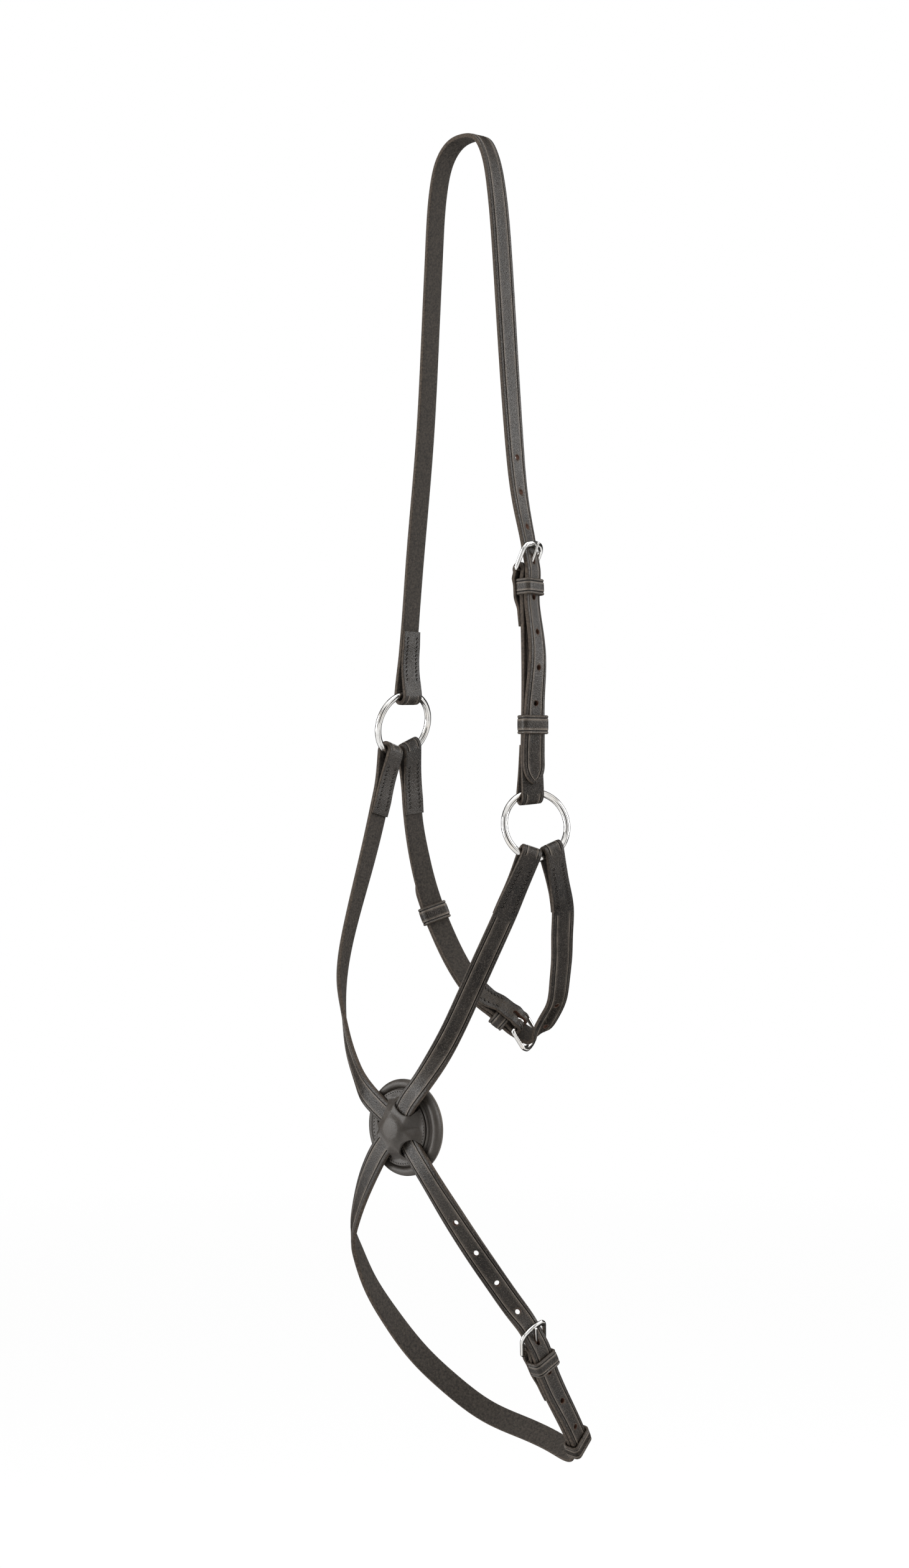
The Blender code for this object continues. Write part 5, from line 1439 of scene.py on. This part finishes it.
def make_head(left, right):
    heel = place(CHEEK_HEEL_shares, 0, RIGHT_DROP)
    share, bulge, *facing = CHEEK_MIDDLE_shares
    out = heading(*facing)
    middle = right.wire(TOP_LOOP_RIGHT_ANGLE, down=False).lerp(heel, share)
    middle += out * (bulge * HALF_SPREAD + LAYER / 2)
    ring_end, rows = ring_fold(
        right, TOP_LOOP_RIGHT_ANGLE, middle, down=False, lap=CHEEK_LAP_LENGTH
    )
    rows.append((middle, out))
    rows += chape_rows(rows[-1][0], heel, CHEEK_FACING)
    cheek = Route(rows)
    shared = shared_marks(cheek, cheek.length - CHEEK_TIP_MARGIN, ring_end)
    chape = chape_fold()
    buckle = buckle_at(cheek)
    strap = add_strap("cheek_strap", "head", cheek, start=ring_end, end=chape)
    cut_slot(strap, buckle)
    add_stitches("cheek_strap", "head", [ring_run(cheek, ring_end, True), chape_run(cheek, chape)])

    def bow(distance):
        start = KEEPER_PLACE + KEEPER_WIDTH / 2
        end = CHEEK_RUNNER_PLACE - RUNNER_WIDTH / 2
        return BILLET_BOW * sin(pi * min(max((distance - start) / (end - start), 0), 1)) ** 2

    onward = places(HEAD_LEFT_shares, 0, LEFT_DROP)
    start, rows = ring_fold(left, TOP_LOOP_LEFT_ANGLE, onward[0][0], down=False)
    rows += onward
    rows.append((Vector((0, 0, HALF_THICK)), UP))
    rows += places(HEAD_RIGHT_shares, 0, RIGHT_DROP)
    head = Route(rows + billet_rows(cheek, buckle, shared, bow, ring_end))
    strap = add_strap("headpiece_strap", "head", head, start=start, tip=True)
    punch(strap, head, buckle, 3, 4)
    add_stitches("headpiece_strap", "head", [ring_run(head, start, lap) for lap in (True, False)])
    make_fittings("cheek", "head", buckle, [cheek, head], CHEEK_RUNNER_PLACE)


def make_nose(left, right):
    middle = place((*PAD_PLACE_shares, 1), 0, PAD_DROP)
    pad_out = heading(*PAD_FACING)
    pad = Frame(middle - pad_out * LOWER_LIFT, UP, pad_out)
    first, rows = lower_end(right, NOSE_LOOP_ANGLE, NOSE_RIGHT_shares, RIGHT_DROP, PAD_DROP)
    rows += crossing(pad, "near_up", "far_down", UPPER_LIFT, UPPER_LIFT, LOWER_LIFT + LAYER / 2)
    rows += places(CHIN_FAR_shares, PAD_DROP, CHIN_DROP)[1:]
    rows += places(CHIN_LINE_shares, PAD_DROP, CHIN_DROP)
    rows += chape_rows(rows[-1][0], place(CHIN_HEEL_shares, PAD_DROP, CHIN_DROP), CHIN_FACING)
    lower = Route(rows)
    shared = shared_marks(lower, CHIN_BILLET_END)
    chape = chape_fold()
    buckle = buckle_at(lower)
    strap = add_strap("nose_strap_right", "nose", lower, start=first, end=chape)
    cut_slot(strap, buckle)
    add_stitches("nose_strap_right", "nose", ring_runs(lower, first) + [chape_run(lower, chape)])
    start, rows = lower_end(left, NOSE_LOOP_ANGLE, NOSE_LEFT_shares, LEFT_DROP, PAD_DROP)
    # Without the last row before the pad, whose nearness to the crossing would kink the strap
    rows.pop()
    rows += crossing(pad, "far_up", "near_down", LOWER_LIFT, LOWER_LIFT, LOWER_LIFT)
    rows += places(CHIN_NEAR_shares, PAD_DROP, CHIN_DROP)[1:]
    upper = Route(rows + billet_rows(lower, buckle, shared))
    strap = add_strap("nose_strap_left", "nose", upper, start=start, tip=True)
    punch(strap, upper, buckle, 4, 3)
    add_stitches("nose_strap_left", "nose", ring_runs(upper, start))
    make_fittings("chin", "nose", buckle, [lower, upper], CHIN_RUNNER_PLACE)
    return pad


def make_jaw(left, right):
    start, rows = lower_end(left, JAW_LOOP_ANGLE, JAW_LEFT_shares, LEFT_DROP, JAW_DROP)
    heel = place(JAW_HEEL_shares, LEFT_DROP + RING_RADIUS, JAW_DROP)
    rows += chape_rows(rows[-1][0], heel, JAW_FACING)
    lower = Route(rows)
    shared = shared_marks(lower, JAW_BILLET_END)
    chape = chape_fold()
    chape.panel = JAW_PANEL_share
    buckle = buckle_at(lower)
    strap = add_strap("jaw_strap_left", "jaw", lower, start=start, end=chape)
    cut_slot(strap, buckle)
    add_stitches("jaw_strap_left", "jaw", ring_runs(lower, start) + [chape_run(lower, chape)])
    first, rows = lower_end(right, JAW_LOOP_ANGLE, JAW_RIGHT_shares, RIGHT_DROP, JAW_DROP)
    upper = Route(rows + billet_rows(lower, buckle, shared, fronts=JAW_FRONT_shares))
    strap = add_strap("jaw_strap_right", "jaw", upper, start=first, tip=True)
    punch(strap, upper, buckle, 2, 4)
    add_stitches("jaw_strap_right", "jaw", ring_runs(upper, first))
    make_fittings("jaw", "jaw", buckle, [lower, upper], JAW_RUNNER_PLACE)


# Nose pad


def turned(profile, pad):
    """A round body from a half section that starts and ends on the axis."""
    mesh = bmesh.new()
    rings = []
    for r, z in profile[1:-1]:
        rings.append([pad_place(pad, 360 * i / PAD_SIDES, r, z) for i in range(PAD_SIDES)])
    verts = [[mesh.verts.new(p) for p in ring] for ring in rings]
    poles = [mesh.verts.new(pad.to_world(0, 0, profile[i][1])) for i in (0, -1)]
    skin(mesh, verts, poles=poles)
    return mesh


def arc(centre_r, centre_z, radius, start, end, steps):
    turns = [radians(start + (end - start) * i / steps) for i in range(steps + 1)]
    return [(centre_r + radius * cos(t), centre_z + radius * sin(t)) for t in turns]


def make_base(pad):
    low = PAD_LINING_THICK + LAYER_GAP
    flat = low + PAD_PLATEAU
    ridge = PAD_RADIUS - PAD_RIM_WIDTH - PAD_RIDGE_WIDTH
    high = low + PAD_RIM_HEIGHT
    rim = PAD_RIM_WIDTH / 2
    profile = [(0, flat)] + [(r, flat) for r in PAD_FLAT_RINGS] + [(ridge - PAD_RIDGE_WIDTH, flat)]
    profile += arc(ridge, flat, PAD_RIDGE_WIDTH / 2, *PAD_RIDGE_ARC)
    profile.append((PAD_RADIUS - PAD_RIM_WIDTH, flat - PAD_GROOVE_DEPTH / 2))
    profile += arc(PAD_RADIUS - rim, high - rim, rim, *PAD_RIM_ARC)
    edge = PAD_EDGE_ROUND
    profile.append((PAD_RADIUS, low + edge))
    profile += arc(PAD_RADIUS - edge, low + edge, edge, *PAD_EDGE_ARC)
    profile += [(0.02, low), (0.01, low), (0, low)]
    base = turned(profile, pad)
    made = add_piece("pad_base_stuffed", base, [PAD], "nose", ["pad_base"])


def make_lining(pad):
    edge = PAD_RADIUS - PAD_LINING_MARGIN
    high = PAD_LINING_THICK
    above, below = LINING_ROUND, LINING_BACK_ROUND
    profile = [(0, high), (0.01, high), (0.02, high)]
    profile += arc(edge - above, high - above, above, 90, 0, 4)
    profile += arc(edge - below, below, below, 0, -90, 6)
    profile += LINING_SEAM + [(0.012, 0), (0, 0)]
    lining = turned(profile, pad)
    add_piece("pad_lining_napped", lining, [LINING], "nose", ["pad_lining"])


def cover_height(across, up):
    """How high the cover lies over a place on the pad: on the straps, and down between them."""
    climb = smooth((hypot(across, up) - COVER_CLIMB) / PAD_RIDGE_WIDTH)
    foot = PAD_TOP + LAYER_GAP + PAD_RIDGE_WIDTH / 2 * climb
    upper, lower = UPPER_LIFT + HALF_THICK + LAYER_GAP, LOWER_LIFT + HALF_THICK + LAYER_GAP
    down = 1 - smooth((hypot(across, up) - COVER_NECK) / COVER_DROP)
    total = 0.0
    for name, angle in PAD_EXITS.items():
        turn = radians(angle)
        along = across * cos(turn) + up * sin(turn)
        beside = abs(across * sin(turn) - up * cos(turn))
        beside = hypot(beside, min(along, 0))
        level = upper
        if name in ("far_up", "near_down"):
            out = smooth((along - COVER_ARCH_START) / COVER_ARCH_LENGTH)
            level += (lower + COVER_ARCH - upper) * out
        fall = min(max((beside - HALF_WIDTH * COVER_LEVEL_share) / COVER_SLOPE, 0), 1)
        share = (1 - fall ** 3 * (fall * (fall * 6 - 15) + 10)) * down
        total += ((level - foot) * share) ** COVER_BLEND
    crown = COVER_CROWN * exp(-(hypot(across, up) / COVER_CROWN_REACH) ** 2)
    return foot + total ** (1 / COVER_BLEND) + crown


def cover_wall(reach):
    """The cover's thickness, which is pared where it lies on the ridge."""
    return COVER_WALL * (1 - COVER_PARE_share * smooth((reach - COVER_CLIMB) / PAD_RIDGE_WIDTH))


def cover_edge():
    """The cover's outline, and a loop half way in: round each exit and out along each lobe."""
    side = HALF_WIDTH + COVER_ASIDE
    exits = sorted(PAD_EXITS.items(), key=lambda item: item[1])
    corner = degrees(atan2(side, COVER_NECK))
    neck = hypot(side, COVER_NECK)
    edge, middle = [], []
    for k, (name, angle) in enumerate(exits):
        onward = (exits[(k + 1) % 4][1] - angle) % 360
        rim = COVER_RIMS[name]
        outer_turn = degrees(asin(side / rim))
        for i in range(-MOUTH_STEPS, MOUTH_STEPS + 1):
            beside = side * i / MOUTH_STEPS
            along = COVER_MOUTH + (COVER_NECK - COVER_MOUTH) * (i / MOUTH_STEPS) ** 2
            turn, reach = angle + degrees(atan2(beside, along)), hypot(along, beside)
            edge.append((reach, turn))
            middle.append((reach * COVER_MIDDLE_share, turn))
        for i in range(1, LOBE_STEPS):
            t = i / LOBE_STEPS
            inner = angle + corner + (onward - 2 * corner) * t
            if min(t, 1 - t) < COVER_CORNER_share:
                out = smooth((t if t < 0.5 else 1 - t) / COVER_CORNER_share)
                along = COVER_NECK + (rim * cos(radians(outer_turn)) - COVER_NECK) * out
                turn, reach = degrees(atan2(side, along)), hypot(side, along)
                turn = angle + (turn if t < 0.5 else onward - turn)
            else:
                t = (t - COVER_CORNER_share) / (1 - 2 * COVER_CORNER_share)
                turn, reach = angle + outer_turn + (onward - 2 * outer_turn) * t, rim
            edge.append((reach, turn))
            middle.append((neck * COVER_MIDDLE_share + (reach - neck) * 0.25, inner))
    return edge, middle


def make_cover(pad):
    """The moulded cover: leather drawn down over the crossing into four sewn lobes."""
    mesh = bmesh.new()
    edge, middle = cover_edge()

    def loop(points, lift, aside=0.0):
        """A ring of points at a share of the cover's thickness, moved out by a little."""
        ring = []
        for reach, turn in points:
            t, r = radians(turn), reach + aside
            across, up = r * cos(t), r * sin(t)
            high = cover_height(across, up) + cover_wall(reach) * lift
            ring.append(mesh.verts.new(pad.to_world(across, up, high)))
        return ring

    def between(t):
        """The loop at a share of the way from the centre to the edge."""
        points = []
        for (r1, a1), (r2, a2) in zip(middle, edge):
            if t < 0.5:
                points.append((r1 * t * 2, a1))
                continue
            s = t * 2 - 1
            x = r1 * cos(radians(a1)) * (1 - s) + r2 * cos(radians(a2)) * s
            y = r1 * sin(radians(a1)) * (1 - s) + r2 * sin(radians(a2)) * s
            points.append((hypot(x, y), degrees(atan2(y, x))))
        return points

    rings = [loop(between(i / COVER_BANDS), 0) for i in range(1, COVER_BANDS)]
    rings += [loop(edge, lift, aside) for lift, aside in COVER_EDGE_ROWS]
    rings += [loop(between(i / COVER_BANDS), 1) for i in range(COVER_BANDS - 1, 0, -1)]
    middle_height = cover_height(0, 0)
    poles = [
        mesh.verts.new(pad.to_world(0, 0, high))
        for high in (middle_height, middle_height + COVER_WALL)
    ]
    skin(mesh, rings, poles=poles)
    add_piece("pad_cover_moulded", mesh, [PAD], "nose", ["pad_cover"], COVER_SHARP)


def make_pad_stitches(pad):
    """The row of stitches just inside the rim of each lobe."""
    mesh = bmesh.new()
    exits = sorted(PAD_EXITS.items(), key=lambda item: item[1])
    index = 0
    for k, (name, angle) in enumerate(exits):
        radius = COVER_RIMS[name] - PAD_STITCH_INSET
        spread = degrees(asin((HALF_WIDTH + COVER_ASIDE + PAD_STITCH_INSET) / radius))
        onward = (exits[(k + 1) % 4][1] - angle) % 360 - 2 * spread
        count = int(radians(onward) * radius / PAD_STITCH_PITCH)
        for i in range(count + 1):
            spots = []
            for share in (i / count, i / count + 0.01):
                turn = radians(angle + spread + onward * share)
                across, up = radius * cos(turn), radius * sin(turn)
                high = cover_height(across, up) + cover_wall(radius)
                spots.append(pad.to_world(across, up, high))
            along = (spots[1] - spots[0]).normalized()
            stitch(mesh, spots[0], along, pad.out, index, PAD_STITCH_SIZE)
            index += 1
    add_piece("pad_stitches", mesh, [THREAD, PIT_SHADE], "nose", sharp=SMOOTH_SHARP)


# Stage


def make_camera():
    """The camera, level and turned by 45 degrees, as far away as the photograph looks taken."""
    camera = bpy.data.cameras.new("camera")
    camera.lens, camera.sensor_width = CAMERA_LENS, CAMERA_SENSOR
    made = bpy.data.objects.new("camera", camera)
    bpy.context.scene.collection.objects.link(made)
    turn = sqrt(0.5)
    made.location = (
        (CAMERA_ASIDE + CAMERA_AWAY) * turn, (CAMERA_ASIDE - CAMERA_AWAY) * turn, CAMERA_HEIGHT,
    )
    made.rotation_euler = (pi / 2, 0, pi / 4)
    camera.clip_start, camera.clip_end = CAMERA_CLIP
    bpy.context.scene.camera = made


def aimed(place_at, aim):
    """The rotation that turns a lamp or a flag towards a place."""
    return (Vector(aim) - Vector(place_at)).to_track_quat("-Z", "Y").to_euler()


def area(name, place_at, size, power):
    lamp = bpy.data.lights.new(name, "AREA")
    lamp.shape = "RECTANGLE"
    lamp.size, lamp.size_y = size
    lamp.energy = power
    made = bpy.data.objects.new(name, lamp)
    made.location, made.rotation_euler = place_at, aimed(place_at, STAGE_AIM)
    bpy.context.scene.collection.objects.link(made)


def sheet(name, half, surface):
    """A flat square object."""
    mesh = bmesh.new()
    bmesh.ops.create_grid(mesh, x_segments=1, y_segments=1, size=half)
    return add_object(name, mesh, [surface])


def flag(name, place_at, size, aim):
    """A black studio flag, which only reflections see."""
    made = sheet(name, 0.5, FLAG)
    made.location, made.rotation_euler = place_at, aimed(place_at, aim)
    made.scale = (*size, 1)
    for kind in ("camera", "diffuse", "transmission", "shadow"):
        setattr(made, "visible_" + kind, False)


def make_stage():
    """White to the eye and in reflections, soft light on the object, and a pale floor."""
    scene = bpy.context.scene
    scene.view_settings.view_transform = "Standard"
    world = bpy.data.worlds.new("studio")
    scene.world = world
    world.use_nodes = True
    tree = world.node_tree
    tree.nodes.clear()
    out, mix = tree.nodes.new("ShaderNodeOutputWorld"), tree.nodes.new("ShaderNodeMixShader")
    soft, white = (tree.nodes.new("ShaderNodeBackground") for _ in range(2))
    soft.inputs[0].default_value = white.inputs[0].default_value = (1, 1, 1, 1)
    soft.inputs[1].default_value, white.inputs[1].default_value = SOFT_LIGHT, 1.0
    path = tree.nodes.new("ShaderNodeLightPath")
    seen = None
    for kind in ("Is Camera Ray", "Is Glossy Ray", "Is Transmission Ray"):
        last, seen = seen, tree.nodes.new("ShaderNodeMath")
        seen.operation, seen.use_clamp = "ADD", True
        tree.links.new(path.outputs[kind], seen.inputs[0])
        seen.inputs[1].default_value = 0
        if last:
            tree.links.new(last.outputs[0], seen.inputs[1])
    tree.links.new(seen.outputs[0], mix.inputs[0])
    tree.links.new(soft.outputs[0], mix.inputs[1])
    tree.links.new(white.outputs[0], mix.inputs[2])
    tree.links.new(mix.outputs[0], out.inputs[0])

    p = Paint("floor_finish")
    p.set(Base_Color=FLOOR_GREY, Roughness=0.9)
    glow = p.node("ShaderNodeEmission")
    glow.inputs[0].default_value, glow.inputs[1].default_value = (1, 1, 1, 1), 1.0
    path = p.node("ShaderNodeLightPath")
    seen = p.math("ADD", path.outputs["Is Camera Ray"], path.outputs["Is Glossy Ray"], clamp=True)
    seen = p.math("ADD", seen, path.outputs["Is Transmission Ray"], clamp=True)
    away = p.node("ShaderNodeVectorMath", operation="LENGTH")
    p.link(p.coordinates(), away.inputs[0])
    share = p.math("MULTIPLY", seen, p.span(away.outputs["Value"], *FLOOR_GLOW))
    both = p.node("ShaderNodeMixShader")
    for out, into in zip((share, p.shader.outputs[0], glow.outputs[0]), both.inputs):
        p.link(out, into)
    p.link(both.outputs[0], p.output.inputs[0])
    floor = sheet("floor", FLOOR_HALF, p.material)
    floor.location = (0, 0, FLOOR_HEIGHT)
    for lamp in LAMPS:
        area(*lamp)
    for row in FLAGS:
        flag(*row)


LEFT = Ring(LEFT_RING_shares, LEFT_DROP, LEFT_RING_FACING)
RIGHT = Ring(RIGHT_RING_shares, RIGHT_DROP, RIGHT_RING_FACING)
make_camera()
make_stage()
make_head(LEFT, RIGHT)
make_ring("ring_left", LEFT)
make_ring("ring_right", RIGHT)
PAD_FRAME = make_nose(LEFT, RIGHT)
make_base(PAD_FRAME)
make_lining(PAD_FRAME)
make_cover(PAD_FRAME)
make_pad_stitches(PAD_FRAME)
make_jaw(LEFT, RIGHT)
